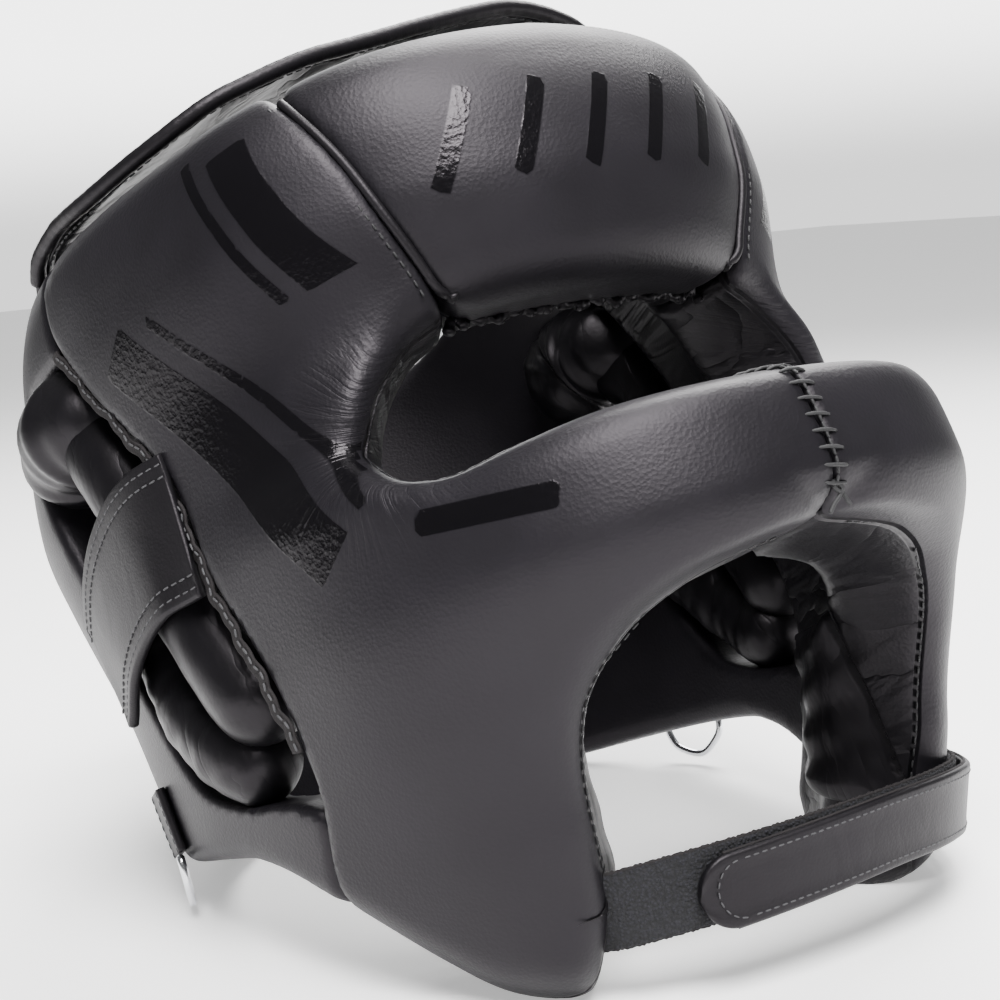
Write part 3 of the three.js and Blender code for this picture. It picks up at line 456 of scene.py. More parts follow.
def surface_of(field, low, high, cell):
    """Closed quad mesh of the surface where a field is zero."""
    low = np.array(low, float)
    axes = [np.arange(a, b + cell, cell) for a, b in zip(low, high)]
    values = field(*np.meshgrid(*axes, indexing="ij"))
    solid = values < 0
    nx, ny, nz = solid.shape
    corners = [(i, j, k) for i in (0, 1) for j in (0, 1) for k in (0, 1)]
    count = sum(solid[i:nx - 1 + i, j:ny - 1 + j, k:nz - 1 + k].astype(int) for i, j, k in corners)
    ids = np.argwhere((count > 0) & (count < 8))
    number = -np.ones(count.shape, int)
    number[tuple(ids.T)] = np.arange(len(ids))
    at = {c: values[ids[:, 0] + c[0], ids[:, 1] + c[1], ids[:, 2] + c[2]] for c in corners}
    total = np.zeros((len(ids), 3))
    crossings = np.zeros(len(ids))
    for a in corners:
        for axis in range(3):
            if a[axis]:
                continue
            b = tuple(1 if n == axis else a[n] for n in range(3))
            crossed = (at[a] < 0) != (at[b] < 0)
            share = np.where(crossed, at[a] / np.where(crossed, at[a] - at[b], 1), 0)
            point = np.array(a)[None] + share[:, None] * (np.array(b) - np.array(a))[None]
            total += np.where(crossed[:, None], point, 0)
            crossings += crossed
    vertices = (ids + total / crossings[:, None]) * cell + low
    quads = []
    for axis in range(3):
        u, v = (axis + 1) % 3, (axis + 2) % 3
        here, ahead = [slice(None)] * 3, [slice(None)] * 3
        here[axis], ahead[axis] = slice(0, -1), slice(1, None)
        first = solid[tuple(here)]
        spots = np.argwhere(first != solid[tuple(ahead)])
        limit = np.array(solid.shape) - 1
        kept = (spots[:, u] > 0) & (spots[:, v] > 0) & (spots[:, u] < limit[u]) & (spots[:, v] < limit[v])
        spots = spots[kept]
        step_u, step_v = np.eye(3, dtype=int)[u], np.eye(3, dtype=int)[v]
        around = [spots, spots - step_u, spots - step_u - step_v, spots - step_v]
        quad = np.stack([number[tuple(s.T)] for s in around], 1)
        inward = ~first[tuple(spots.T)]
        quad[inward] = quad[inward][:, ::-1]
        quads.append(quad)
    for _ in range(2):
        x, y, z = vertices.T
        slope = gradient(field, x, y, z, 0.6)
        steep = np.maximum((slope ** 2).sum(-1), 0.15)
        move = slope * (field(x, y, z) / steep)[:, None]
        far = np.maximum(np.linalg.norm(move, axis=1, keepdims=True), 1e-9)
        vertices = vertices - move * np.minimum(1, 0.7 * cell / far)
    return vertices, np.concatenate(quads)


def to_world(points):
    """From the wearer's frame in millimetres to the row's frame in metres, pressed flat at rest."""
    x, y, z = points[..., 0], points[..., 1], points[..., 2]
    leaned = np.stack([x, y * math.cos(LEAN) + z * math.sin(LEAN),
                       z * math.cos(LEAN) - y * math.sin(LEAN)], -1) + SHIFT
    leaned[..., 2] = np.maximum(leaned[..., 2], 0)
    return leaned * MM


def mirrored(vertices, faces):
    return vertices * np.array([-1, 1, 1]), faces[:, ::-1]


def joined(parts):
    """One mesh out of several."""
    vertices, faces, offset = [], [], 0
    for part_vertices, part_faces in parts:
        vertices.append(part_vertices)
        faces.append(part_faces + offset)
        offset += len(part_vertices)
    return np.concatenate(vertices), np.concatenate(faces)


def make(name, vertices, faces, finish, replaces=(), slot="matte_leather", fill=None, attributes=None):
    """A smooth mesh object that rides on the body."""
    mesh = bpy.data.meshes.new(name)
    mesh.from_pydata(to_world(vertices).tolist(), [], faces)
    mesh.polygons.foreach_set("use_smooth", [True] * len(mesh.polygons))
    for key, values in (attributes or {}).items():
        numbers = mesh.attributes.new(key, "FLOAT", "POINT")
        numbers.data.foreach_set("value", np.asarray(values, dtype=np.float32))
    mesh.update()
    mesh.materials.append(material(finish))
    piece = bpy.data.objects.new(name, mesh)
    bpy.context.scene.collection.objects.link(piece)
    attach(piece, BODY)
    if replaces:
        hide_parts(*replaces)


def distance_along(path):
    return np.concatenate([[0], np.cumsum(np.linalg.norm(np.diff(path, axis=0), axis=1))])


def read_at(places, along, rows):
    """Rows of a table of points or directions, read at some distances along it."""
    return np.stack([np.interp(places, along, rows[:, k]) for k in range(3)], -1)


def smooth_path(points, count, closed=False):
    """Evenly spaced points on a smooth curve through some points."""
    points = np.asarray(points, float)
    if closed:
        control = np.concatenate([points[-1:], points, points[:2]])
    else:
        before, after = 2 * points[:1] - points[1:2], 2 * points[-1:] - points[-2:-1]
        control = np.concatenate([before, points, after])
    fine = []
    for i in range(len(control) - 3):
        p0, p1, p2, p3 = control[i:i + 4]
        t = np.linspace(0, 1, 24, endpoint=False)[:, None]
        fine.append(0.5 * (2 * p1 + (p2 - p0) * t + (2 * p0 - 5 * p1 + 4 * p2 - p3) * t ** 2
                           + (3 * p1 - p0 - 3 * p2 + p3) * t ** 3))
    fine = np.concatenate(fine + [control[-2:-1]])
    along = distance_along(fine)
    wanted = np.linspace(0, along[-1], count + 1)[:-1] if closed else np.linspace(0, along[-1], count)
    return read_at(wanted, along, fine)


def frames(centres, normals, closed=False):
    """Across and outward directions along a path."""
    ahead = np.roll(centres, -1, 0) - np.roll(centres, 1, 0)
    if not closed:
        ahead[0] = centres[1] - centres[0]
        ahead[-1] = centres[-1] - centres[-2]
    ahead = unit(ahead)
    across = unit(np.cross(ahead, normals))
    return across, unit(np.cross(across, ahead))


def tube_faces(count, sides, closed=False):
    """Quads between a row of rings, and from the last ring to the first when closed."""
    i = np.arange(count if closed else count - 1)[:, None]
    s = np.arange(sides)[None]
    after = (i + 1) % count
    turn = (s + 1) % sides
    corners = [i * sides + s, i * sides + turn, after * sides + turn, after * sides + s]
    return np.stack(corners, -1).reshape(-1, 4)


def sweep(centres, across, out, section, closed=False):
    """Mesh of a closed section carried along a path; a section has a row (across, out) for each point."""
    section = np.asarray(section, float)
    if section.ndim == 2:
        section = np.repeat(section[None], len(centres), 0)
    rings = centres[:, None] + across[:, None] * section[:, :, :1] + out[:, None] * section[:, :, 1:]
    count, sides = section.shape[:2]
    faces = tube_faces(count, sides, closed)
    if closed:
        return rings.reshape(-1, 3), faces
    vertices = np.concatenate([rings.reshape(-1, 3), rings[[0, -1]].mean(1)])
    first = np.arange(sides)
    second = (first + 1) % sides
    last = (count - 1) * sides
    start, end = np.full(sides, count * sides), np.full(sides, count * sides + 1)
    caps = [np.stack([second, first, start, start], -1),
            np.stack([last + first, last + second, end, end], -1)]
    return vertices, np.concatenate([faces] + caps)


def closed_sheet(front, back):
    """Closed mesh between two grids of points that lie one behind the other."""
    rings = np.concatenate([front, back[:, ::-1]], 1)
    count, sides = rings.shape[:2]
    s = np.arange(sides // 2 - 1)
    caps = []
    for ring, turn in ((0, 1), (count - 1, -1)):
        start = ring * sides
        cap = np.stack([start + s, start + s + 1, start + sides - 2 - s, start + sides - 1 - s], -1)
        caps.append(cap[:, ::turn])
    return rings.reshape(-1, 3), np.concatenate([tube_faces(count, sides)] + caps)


def clean(faces):
    """Face lists with repeated corners dropped."""
    return [list(dict.fromkeys(face)) for face in np.asarray(faces).tolist()]


def make_swept(name, parts, finish, slot="trim_leather", **words):
    """One object from several closed meshes, with their faces turned outward."""
    vertices, faces = joined(parts)
    first, second, third = (vertices[faces[:, corner]] for corner in range(3))
    volume = np.einsum("ij,ij->i", first, np.cross(second, third)).sum()
    outward = faces if volume > 0 else faces[:, ::-1]
    make(name, vertices, clean(outward), finish, slot=slot, **words)


def round_section(radius, sides=16):
    turn = np.linspace(0, 2 * math.pi, sides, endpoint=False)
    return np.stack([radius * np.cos(turn), radius * np.sin(turn)], -1)


def strap_section(width, thickness, steps=10, bead=0.0, bead_width=4.0):
    """Flat section with round edges, thicker towards both edges by a bead."""
    half, flat = width / 2, thickness / 2
    xs = np.linspace(-half + flat, half - flat, steps)
    rise = flat + bead * np.clip((np.abs(xs) - half + bead_width) / bead_width, 0, 1) ** 0.5
    edge = np.linspace(0, math.pi, 7)[1:-1]
    top = np.stack([xs, rise], -1)
    right = np.stack([half - flat + flat * np.sin(edge), (flat + bead) * np.cos(edge)], -1)
    bottom = np.stack([xs[::-1], -np.full(steps, flat)], -1)
    left = np.stack([-half + flat - flat * np.sin(edge), -(flat + bead) * np.cos(edge)], -1)
    return np.concatenate([top, right, bottom, left])


def rope(path, radius, count, normals=None, closed=False, sides=12, swell=None):
    centres = smooth_path(path, count, closed)
    normals = shell_normal(centres) if normals is None else normals
    across, out = frames(centres, normals, closed)
    section = np.repeat(round_section(radius, sides)[None], len(centres), 0)
    if swell is not None:
        section = section * swell(np.linspace(0, 1, len(centres)))[:, None, None]
    return sweep(centres, across, out, section, closed)


def capsule(sides=6):
    """Small stitch of unit length along X, with round ends."""
    stations = [(-0.5, 0.25), (-0.42, 0.8), (-0.2, 1), (0.2, 1), (0.42, 0.8), (0.5, 0.25)]
    ring = round_section(1.0, sides)
    rings = [np.column_stack([np.full(sides, x), radius * ring]) for x, radius in stations]
    return np.concatenate(rings), tube_faces(len(stations), sides)[:, ::-1]


def stitches(path, normals, kind, lift=0.0, slant=0.0, arch=0.0):
    """A run of stitches along a path of close points."""
    length, pitch, radius = STITCHES[kind]
    path = np.asarray(path, float)
    along = distance_along(path)
    places = np.arange(pitch / 2, along[-1], pitch)
    centre = read_at(places, along, path)
    normal = unit(read_at(places, along, normals))
    ahead = read_at(places + 0.5, along, path) - read_at(places - 0.5, along, path)
    ahead = unit(ahead - normal * (ahead * normal).sum(-1, keepdims=True))
    side = np.cross(normal, ahead)
    ahead, side = (ahead * math.cos(slant) + side * math.sin(slant),
                   side * math.cos(slant) - ahead * math.sin(slant))
    shape, faces = capsule()
    bend = arch * (1 - (2 * shape[:, 0]) ** 2)
    vertices = (centre[:, None] + ahead[:, None] * (shape[:, 0] * length)[None, :, None]
                + side[:, None] * (shape[:, 1] * radius)[None, :, None]
                + normal[:, None] * (shape[:, 2] * radius + bend + lift)[None, :, None])
    numbers = np.arange(len(places))[:, None, None] * len(shape)
    return vertices.reshape(-1, 3), (faces[None] + numbers).reshape(-1, 4)


class Value:
    """A number that varies over a surface; arithmetic on it adds Math nodes."""

    def __init__(self, nodes, socket):
        self.nodes = nodes
        self.socket = socket

    def _math(self, operation, first, second=None):
        inputs = {0: first} if second is None else {0: first, 1: second}
        return self.nodes.node("ShaderNodeMath", {"operation": operation}, inputs)

    def __add__(self, other):
        return self._math("ADD", self, other)

    def __radd__(self, other):
        return self._math("ADD", other, self)

    def __sub__(self, other):
        return self._math("SUBTRACT", self, other)

    def __rsub__(self, other):
        return self._math("SUBTRACT", other, self)

    def __mul__(self, other):
        return self._math("MULTIPLY", self, other)

    def __rmul__(self, other):
        return self._math("MULTIPLY", other, self)

    def __pow__(self, other):
        return self._math("POWER", self, other)

    def __abs__(self):
        return self._math("ABSOLUTE", self)

    def within(self, low, high, start=0.0, end=1.0):
        """The start below low, the end above high, smooth between."""
        return self.nodes.node("ShaderNodeMapRange", {"interpolation_type": "SMOOTHSTEP"}, {
            "Value": self, "From Min": low, "From Max": high, "To Min": start, "To Max": end}, "Result")


class Nodes:
    """A node tree to which nodes are added by type, settings and inputs."""

    def __init__(self, tree):
        self.tree = tree

    def node(self, kind, settings, inputs, output=0):
        node = self.tree.nodes.new(kind)
        for key, value in settings.items():
            setattr(node, key, value)
        for key, value in inputs.items():
            self.feed(node.inputs[key], value)
        return Value(self, node.outputs[output])

    def feed(self, socket, value):
        """Links a value that varies, or sets one that doesn't."""
        if isinstance(value, Value):
            self.tree.links.new(value.socket, socket)
        else:
            socket.default_value = value


class Shader(Nodes):
    """A material with its Principled surface and the wearer's frame as coordinates."""

    def __init__(self, name):
        self.material = bpy.data.materials.new(name)
        self.material.use_nodes = True
        super().__init__(self.material.node_tree)
        self.surface = self.tree.nodes["Principled BSDF"]
        world = self.node("ShaderNodeTexCoord", {}, {}, "Object")
        self.place = self.node("ShaderNodeMapping", {"vector_type": "TEXTURE"}, {
            "Vector": world, "Location": tuple(SHIFT * MM), "Rotation": (-LEAN, 0, 0)}, "Vector")

    def set(self, **inputs):
        for key, value in inputs.items():
            self.feed(self.surface.inputs[key.replace("_", " ").title().replace("Ior", "IOR")], value)

    def noise(self, scale, detail=3.0, rough=0.5, vector=None, distortion=0.0):
        return self.node("ShaderNodeTexNoise", {}, {
            "Vector": vector or self.place, "Scale": scale, "Detail": detail, "Roughness": rough,
            "Distortion": distortion}, "Fac")

    def cells(self, scale):
        return self.node("ShaderNodeTexVoronoi", {}, {"Vector": self.place, "Scale": scale}, "Distance")

    def stretched(self, share):
        """Coordinates drawn out along the height."""
        return self.node("ShaderNodeMapping", {}, {"Vector": self.place, "Scale": (1, 1, share)}, "Vector")

    def mix(self, share, first, second):
        return self.node("ShaderNodeMix", {"data_type": "RGBA"}, {0: share, 6: first, 7: second}, 2)

    def axis(self, name):
        return self.node("ShaderNodeSeparateXYZ", {}, {0: self.place}, name)

    def vector(self, x, y, z):
        return self.node("ShaderNodeCombineXYZ", {}, {0: x, 1: y, 2: z})

    def attribute(self, name):
        return self.node("ShaderNodeAttribute", {"attribute_name": name}, {}, "Fac")

    def bump(self, height, depth, under=None):
        inputs = {"Height": height, "Distance": depth, "Strength": 1.0}
        if under is not None:
            inputs["Normal"] = under
        return self.node("ShaderNodeBump", {}, inputs)


def tint(color, factor):
    return tuple(min(1, c * factor) for c in color[:3]) + (1.0,)


def around(shader, y, z):
    """Angle and distance round a point of the head's side, in the wearer's frame."""
    across = shader.axis("Y") - y * MM
    up = shader.axis("Z") - z * MM
    angle = shader.node("ShaderNodeMath", {"operation": "ARCTAN2"}, {0: up, 1: across})
    reach = (across * across + up * up) ** 0.5
    return angle, reach


def leather(name, color, roughness, grain=1.1, depth=0.1, folds=0.0, striped=False, creased=False,
            lined=False):
    """Fine grained leather; striped pieces carry gloss stripes, creased ones wrinkle at the eye corner.

    Lined ones turn into smooth leather where they face the head.
    """
    shader = Shader(name)
    pebbles = shader.cells(1 / (grain * MM))
    pores = shader.noise(1 / (0.45 * grain * MM), 2.0, 0.6)
    broad = shader.noise(26.0, 4.0, 0.55)
    rough = (broad - 0.5) * 0.16 + (pores - 0.5) * 0.1 + roughness
    base = shader.mix(broad.within(0.3, 0.75), tint(color, 0.82), tint(color, 1.18))
    normal = shader.bump(pebbles * 0.6 + pores * 0.4, depth * MM)
    if folds:
        fold = shader.noise(55.0, 3.0, 0.45, shader.stretched(0.45), 0.6)
        normal = shader.bump(abs(fold - 0.5) ** 0.7, folds * MM, normal)
    if creased:
        angle, reach = around(shader, *CREASE_PLACE)
        spokes = shader.noise(1.0, 3.0, 0.5, shader.vector(angle * 9.0, reach * 26.0, 0.0), 0.4)
        ring = reach.within(0.008, 0.016) * (1 - reach.within(0.022, 0.042))
        normal = shader.bump(abs(spokes - 0.5) ** 0.6 * ring, 0.4 * MM, normal)
    if striped:
        mask = shader.attribute("stripe").within(-0.35, 0.35)
        crinkle = shader.cells(1 / (2.2 * MM)) * mask
        normal = shader.bump(crinkle, 0.09 * MM, normal)
        rough = rough * (1 - mask) + mask * STRIPE_ROUGHNESS
        base = shader.mix(mask, base, tint(color, 0.35))
    if lined:
        under = shader.attribute("depth")
        inner = under.within(LINING_DEPTH - 0.3, LINING_DEPTH + 0.3)
        fold = abs(shader.noise(22.0, 3.0, 0.45, shader.stretched(2.4), 0.5) - 0.5) ** 0.7
        groove = under.within(LINING_DEPTH - 1.4, LINING_DEPTH)
        groove = groove * (1 - under.within(LINING_DEPTH, LINING_DEPTH + 1.4))
        normal = shader.bump(fold * inner - groove * 0.5, 3 * MM, normal)
        base = shader.mix(inner, base, tint(bpy.context.scene.headgear_looks.lining, 1.0))
        rough = rough - inner * 0.05
    shader.set(base_color=base, roughness=rough, normal=normal, specular_ior_level=SHEEN_LEVEL,
               specular_tint=SHEEN_TINT)
    return shader.material


def thread(name, color):
    shader = Shader(name)
    twist = shader.noise(2500.0, 2.0, 0.5)
    shader.set(base_color=shader.mix(twist, tint(color, 0.6), tint(color, 1.3)), roughness=0.7,
               normal=shader.bump(twist, 0.00015))
    return shader.material


def pile_cloth(name, color):
    """Loop pile of a hook strap, with painted shade between the loops and lighter painted loop tops."""
    shader = Shader(name)
    loops = shader.cells(1 / (0.9 * MM))
    fuzz = shader.noise(2600.0, 3.0, 0.7)
    height = (1 - loops) * 0.7 + fuzz * 0.3
    # The colour follows the loop height: painted shade where the loops are low, and a lighter painted tone on
    # the loop tops
    base = shader.mix(height.within(0.35, 0.9), tint(color, 0.35), tint(color, 2.0))
    shader.set(base_color=base, roughness=0.95, normal=shader.bump(height, 0.0011))
    return shader.material


def metal(name, color):
    shader = Shader(name)
    wear = shader.noise(300.0, 4.0, 0.6)
    shader.set(base_color=shader.mix(wear, tint(color, 0.85), tint(color, 1.0)),
               roughness=wear * 0.12 + 0.12, metallic=1.0, normal=shader.bump(wear, 0.00003))
    return shader.material


def plain_floor(name, color):
    """White acrylic, lit a little from below as on a light table."""
    shader = Shader(name)
    dust = shader.noise(9.0, 3.0, 0.5)
    shader.set(base_color=shader.mix(dust, tint(color, 0.99), tint(color, 1.0)), roughness=0.8)
    shader.set(emission_color=(1.0, 1.0, 1.0, 1.0), emission_strength=FLOOR_GLOW)
    return shader.material


materials = {}


def material(key):
    """Each finish is made once, from the colours in the sidebar."""
    looks = bpy.context.scene.headgear_looks
    others = {
        "thread": lambda: thread("thread", looks.thread),
        "dark_thread": lambda: thread("dark_thread", looks.lace),
        "pile": lambda: pile_cloth("loop_pile", looks.pile),
        "chrome": lambda: metal("chrome", looks.ring),
    }
    if key not in materials and key in LEATHERS:
        name, color, settings = LEATHERS[key]
        materials[key] = leather(name, getattr(looks, color), **settings)
    elif key not in materials:
        materials[key] = others[key]()
    return materials[key]


def bar_distance(a, b, start, end, half):
    """Distance inside a straight bar on a flat drawing."""
    start, end = np.array(start, float), np.array(end, float)
    along = end - start
    length = np.linalg.norm(along)
    along /= length
    p, q = a - start[0], b - start[1]
    run = p * along[0] + q * along[1]
    off = np.abs(p * along[1] - q * along[0])
    return np.minimum(half - off, np.minimum(run, length - run))


def side_stripe(vertices):
    y, z = vertices[:, 1], vertices[:, 2]
    found = np.full(len(vertices), NO_STRIPE)
    for y1, z1, y2, z2, half in SIDE_STRIPES:
        found = np.maximum(found, bar_distance(y, z, (y1, z1), (y2, z2), half))
    outside = mould_level(*vertices.T) > 0.94
    return np.where(outside, found, NO_STRIPE)


def brow_stripe(vertices):
    x, z = vertices[:, 0], vertices[:, 2]
    found = np.full(len(vertices), NO_STRIPE)
    low, high = BROW_BAR_ENDS
    for middle in BROW_BARS:
        ends = (middle - BROW_BAR_SLANT, low), (middle + BROW_BAR_SLANT, high)
        found = np.maximum(found, bar_distance(x, z, *ends, BROW_BAR_HALF_WIDTH))
    outside = mould_level(*vertices.T) > 0.98
    return np.where(outside, found, NO_STRIPE)


def depth_under(vertices):
    """Depth of each point under the outer surface."""
    return -measures(*vertices.T)[1]


def build_forehead():
    vertices, faces = surface_of(forehead_field, *FOREHEAD_BOX, CELL)
    depth = depth_under(vertices) - BROW_LINING_DEPTH + LINING_DEPTH
    make("forehead_pad_dressed", vertices, faces.tolist(), "brow", ["forehead_pad"], fill=0.9,
         attributes={"stripe": brow_stripe(vertices), "depth": depth})


def build_sides():
    shape = surface_of(side_field, *SIDE_BOX, CELL)
    for side, (vertices, faces) in (("right", shape), ("left", mirrored(*shape))):
        make("side_panel_%s_dressed" % side, vertices, faces.tolist(), "panel", ["side_panel_%s" % side],
             fill=0.85, attributes={"stripe": side_stripe(vertices), "depth": depth_under(vertices)})


def build_rear():
    shape = surface_of(rear_field, *REAR_BOX, CELL)
    for side, (vertices, faces) in (("right", shape), ("left", mirrored(*shape))):
        make("rear_panel_%s_dressed" % side, vertices, faces.tolist(), "matte", ["rear_panel_%s" % side],
             fill=0.85)


def lining_seam():
    """Line round the mouth opening where the outer leather meets the lining."""
    z = np.linspace(12, 84, 40)
    angle = np.stack([mouth_angle(z) - 8, mouth_angle(z) + 14])
    rise = np.linspace(17, 2, 12)
    height = np.stack([np.full(12, MOUTH_TOP - 8), np.full(12, MOUTH_TOP + 14)])
    for _ in range(24):
        middle = angle.mean(0)
        empty = bar_field(*on_shell(-middle, z, -LINING_DEPTH).T) > 0
        angle = np.stack([np.where(empty, middle, angle[0]), np.where(empty, angle[1], middle)])
        level = height.mean(0)
        empty = bar_field(*on_shell(-rise, level, -LINING_DEPTH).T) > 0
        height = np.stack([np.where(empty, level, height[0]), np.where(empty, height[1], level)])
    jaw = on_shell(-angle.mean(0), z, -LINING_DEPTH)
    bar = on_shell(-rise, height.mean(0), -LINING_DEPTH)
    path = smooth_path(np.concatenate([jaw[::4], bar[::3]]), 260)
    return path, unit(gradient(bar_field, *path.T, 0.8))


def build_lining_seam():
    path, normals = lining_seam()
    both("lining_stitches", [stitches(path, normals, "lining", 0.2)], "dark_thread", replacing=False,
         slot="smooth_leather")


def width_of(name):
    """A width from the sidebar, in millimetres."""
    return round(getattr(bpy.context.scene.headgear_sizes, name) / MM, 3)


def both(name, parts, finish, replacing=True, **words):
    """A piece on the right side and its mirror image on the left."""
    for side in ("right", "left"):
        shapes = parts if side == "right" else [mirrored(*part) for part in parts]
        replaced = ["%s_%s" % (name, side)] if replacing else []
        make_swept("%s_%s_dressed" % (name, side), shapes, finish, replaces=replaced, **words)


def seam_heights(count):
    low = BROW_HEIGHT - 8
    high = upper_edge(FOREHEAD_SEAM_ANGLE * 1.5) - TOP_ROUNDING + 6
    return np.linspace(low, high, count)


def under_brow(path):
    """The lowest points of a seam line, brought round the rounded edge of the brow."""
    share = np.clip((BROW_HEIGHT + 8 - path[:, 2]) / 6, 0, 1)[:, None]
    return path * (1 - share) + settle(forehead_field, path) * share


def build_piping():
    z = seam_heights(40)
    path = under_brow(on_shell(-seam_angle(z) + 0.2, z, -1.5))
    both("brow_piping", [rope(path, PIPING_RADIUS, 120)], "trim")
    z = z[z > BROW_HEIGHT + 2]
    beside = on_shell(-seam_angle(z) - 1.8, z, -0.5)
    run = stitches(beside, shell_normal(beside), "brow", 0.1)
    both("brow_seam_stitches", [run], "dark_thread", replacing=False)


def build_brow_edge():
    """Gathered edge of the lining under the brow, its ends tucked into the seams."""
    angle = np.linspace(-FOREHEAD_SEAM_ANGLE, FOREHEAD_SEAM_ANGLE, 60)
    path = settle(forehead_field, on_shell(angle, BROW_HEIGHT - 2, -BROW_LINING_DEPTH))
    path[:, 2] += 0.7 * np.sin(0.9 * angle) + 0.5 * np.sin(2.1 * angle)
    tuck = np.array([2.5, 0.5, -4.5])
    path = np.concatenate([path[:1] + tuck * [-1, 1, 1], path, path[-1:] + tuck])
    count = 260
    edge = rope(path, LINING_EDGE_RADIUS, count, np.repeat([[0.0, -1.0, 0.0]], count, 0),
                swell=lambda s: 1 + 0.25 * np.sin(95 * s) + 0.15 * np.sin(231 * s))
    make_swept("brow_lining_edge", [edge], "smooth", slot="smooth_leather")


def side_route(rows, radius, count):
    """Smooth centre line over the side of the head, with outward normals."""
    table = np.array(rows, float)
    points = on_side(table[:, 0] * EAR_EDGE_REACH, table[:, 1] * SHELL_HEIGHT, table[:, 2] * radius)
    centres = smooth_path(points, count)
    return centres, shell_normal(centres)


def padded_roll(rows, radius, count, ripple, lumps, waist):
    """A soft roll with round ends and gathers across it."""
    centres, normals = side_route(rows, radius, count)
    across, out = frames(centres, normals)
    share = np.linspace(0, 1, count)
    end = np.clip(np.minimum(share, 1 - share) * distance_along(centres)[-1] / radius, 0, 1)
    swell = np.sqrt(np.maximum(1 - (1 - end) ** 2, 0.02))
    turn = np.linspace(0, 2 * math.pi, 40, endpoint=False)
    bends = 1.3 * np.sin(2 * turn)[None] + 0.8 * np.cos(3 * turn)[None]
    wave = ripple * np.sin(lumps * share[:, None] + bends)
    wave = wave + 0.6 * ripple * np.sin(2.3 * lumps * share[:, None] - turn[None] * 2)
    section = radius * swell[:, None] * (1 + wave)
    section = np.stack([section * np.cos(turn)[None] * waist, section * np.sin(turn)[None]], -1)
    return sweep(centres, across, out, section)


def build_ear():
    for name, roll in ROLLS.items():
        both(name, [padded_roll(*roll)], "smooth", slot="smooth_leather", fill=0.8)


def strap_between(centres, normals, width, bead=0.0, round_start=False):
    """A flat leather strap along a path, with its across and outward directions."""
    across, out = frames(centres, normals)
    section = np.repeat(strap_section(width, LEATHER, 12, bead)[None], len(centres), 0)
    if round_start:
        share = np.clip(distance_along(centres) / (width / 2), 0, 1)
        section[:, :, 0] *= np.sqrt(np.maximum(1 - (1 - share) ** 2, 0.01))[:, None]
    return sweep(centres, across, out, section), across, out


def edge_lines(centres, across, out, width, inset, lift):
    """Lines along both edges of a strap."""
    return [(centres + across * (side * (width / 2 - inset)) + out * lift, out) for side in (-1, 1)]


def build_ear_band():
    width = width_of("ear_band")
    centres, normals = side_route(EAR_BAND, EAR_BAND_LIFT, 90)
    strap, across, out = strap_between(centres, normals, width, 0.5)
    both("ear_band", [strap], "trim")
    runs = []
    for inset in EAR_BAND_SEAMS:
        for line, up in edge_lines(centres, across, out, width, inset, LEATHER / 2 + 0.1):
            runs.append(stitches(line, up, "band"))
    both("ear_band_stitches", runs, "thread", replacing=False)


def build_raw_edge():
    """Cut leather edge along the front of the ear opening, with its line of thread."""
    z = np.linspace(*RAW_EDGE_HEIGHTS, 160)
    wave = 0.8 * np.sin(z * 0.35) + 0.5 * np.sin(z * 0.83 + 1)
    path = on_side(ear_front(z) + 1.6 + wave, z, -0.4)
    normals = shell_normal(path)
    across, out = frames(path, normals)
    ribbon = sweep(path, across, out, strap_section(RAW_EDGE_WIDTH, RAW_EDGE_THICKNESS, 6))
    both("ear_edge", [ribbon], "edge", replacing=False)
    line = path + np.array([0, -1.4, 0])
    both("ear_edge_stitches", [stitches(line, normals, "edge", 0.9)], "thread", replacing=False)


def crown_point(u, v):
    along = np.abs(2 * u - 1)
    x, front, rear, front_rise, rear_rise = (c(along) for c in crown_curves)
    reach = HALF_WIDTH * x * (1 - CROWN_TAPER * v * along ** 4)
    rise = front_rise + (rear_rise - front_rise) * v
    side = np.sign(2 * u - 1)
    rise = rise + side * CROWN_SAG * np.sin(math.pi * np.minimum(along / CROWN_SAG_SPAN, 1))
    return np.stack([side * reach, EAR_EDGE_REACH * (front + (rear - front) * v),
                     CROWN_FOOT + CROWN_BAND_RISE * rise], -1)


def crown_normal(u, v):
    step = 0.02
    along = crown_point(u + step, v) - crown_point(u - step, v)
    across = crown_point(u, v + step) - crown_point(u, v - step)
    return unit(np.cross(along, across))


def build_crown():
    u, v = np.meshgrid(np.linspace(0, 1, 150), np.linspace(0, 1, 50), indexing="ij")
    points, normals = crown_point(u, v), crown_normal(u, v)
    along = np.abs(2 * u - 1)
    pucker = 0.8 * np.sin(70 * u + 3 * v) * np.exp(-((v - 0.02) / 0.12) ** 2)
    sag = 1.6 * np.sin(9 * u + 2 * v) * np.sin(math.pi * v) * (1 - along ** 2)
    points = points + normals * (pucker + sag)[..., None]
    half = normals * (CROWN_BAND_THICKNESS / 2)
    make_swept("crown_band_dressed", [closed_sheet(points + half, points - half)], "lining",
               slot="smooth_leather", replaces=["crown_band"], fill=0.3)
    share = np.linspace(0.02, 0.98, 220)
    edge, normals = crown_point(share, 0.0), crown_normal(share, 0.0)
    ahead = unit(crown_point(share + 0.01, 0.0) - crown_point(share - 0.01, 0.0))
    forward = unit(np.cross(ahead, normals))
    count = 420
    nearest = np.linspace(0, len(share) - 1, count).astype(int)
    binding = rope(edge + forward * 2.0, CROWN_BINDING_RADIUS, count, normals[nearest],
                   swell=lambda s: 1 + 0.012 * np.sin(260 * s) + 0.012 * np.sin(611 * s))
    make_swept("crown_binding_dressed", [binding], "trim", replaces=["crown_binding"])
    inner = edge - forward * 1.3
    runs = [stitches(inner + normals * side * 1.8, side * normals, "crown") for side in (-1, 1)]
    make_swept("crown_binding_stitches", runs, "thread")


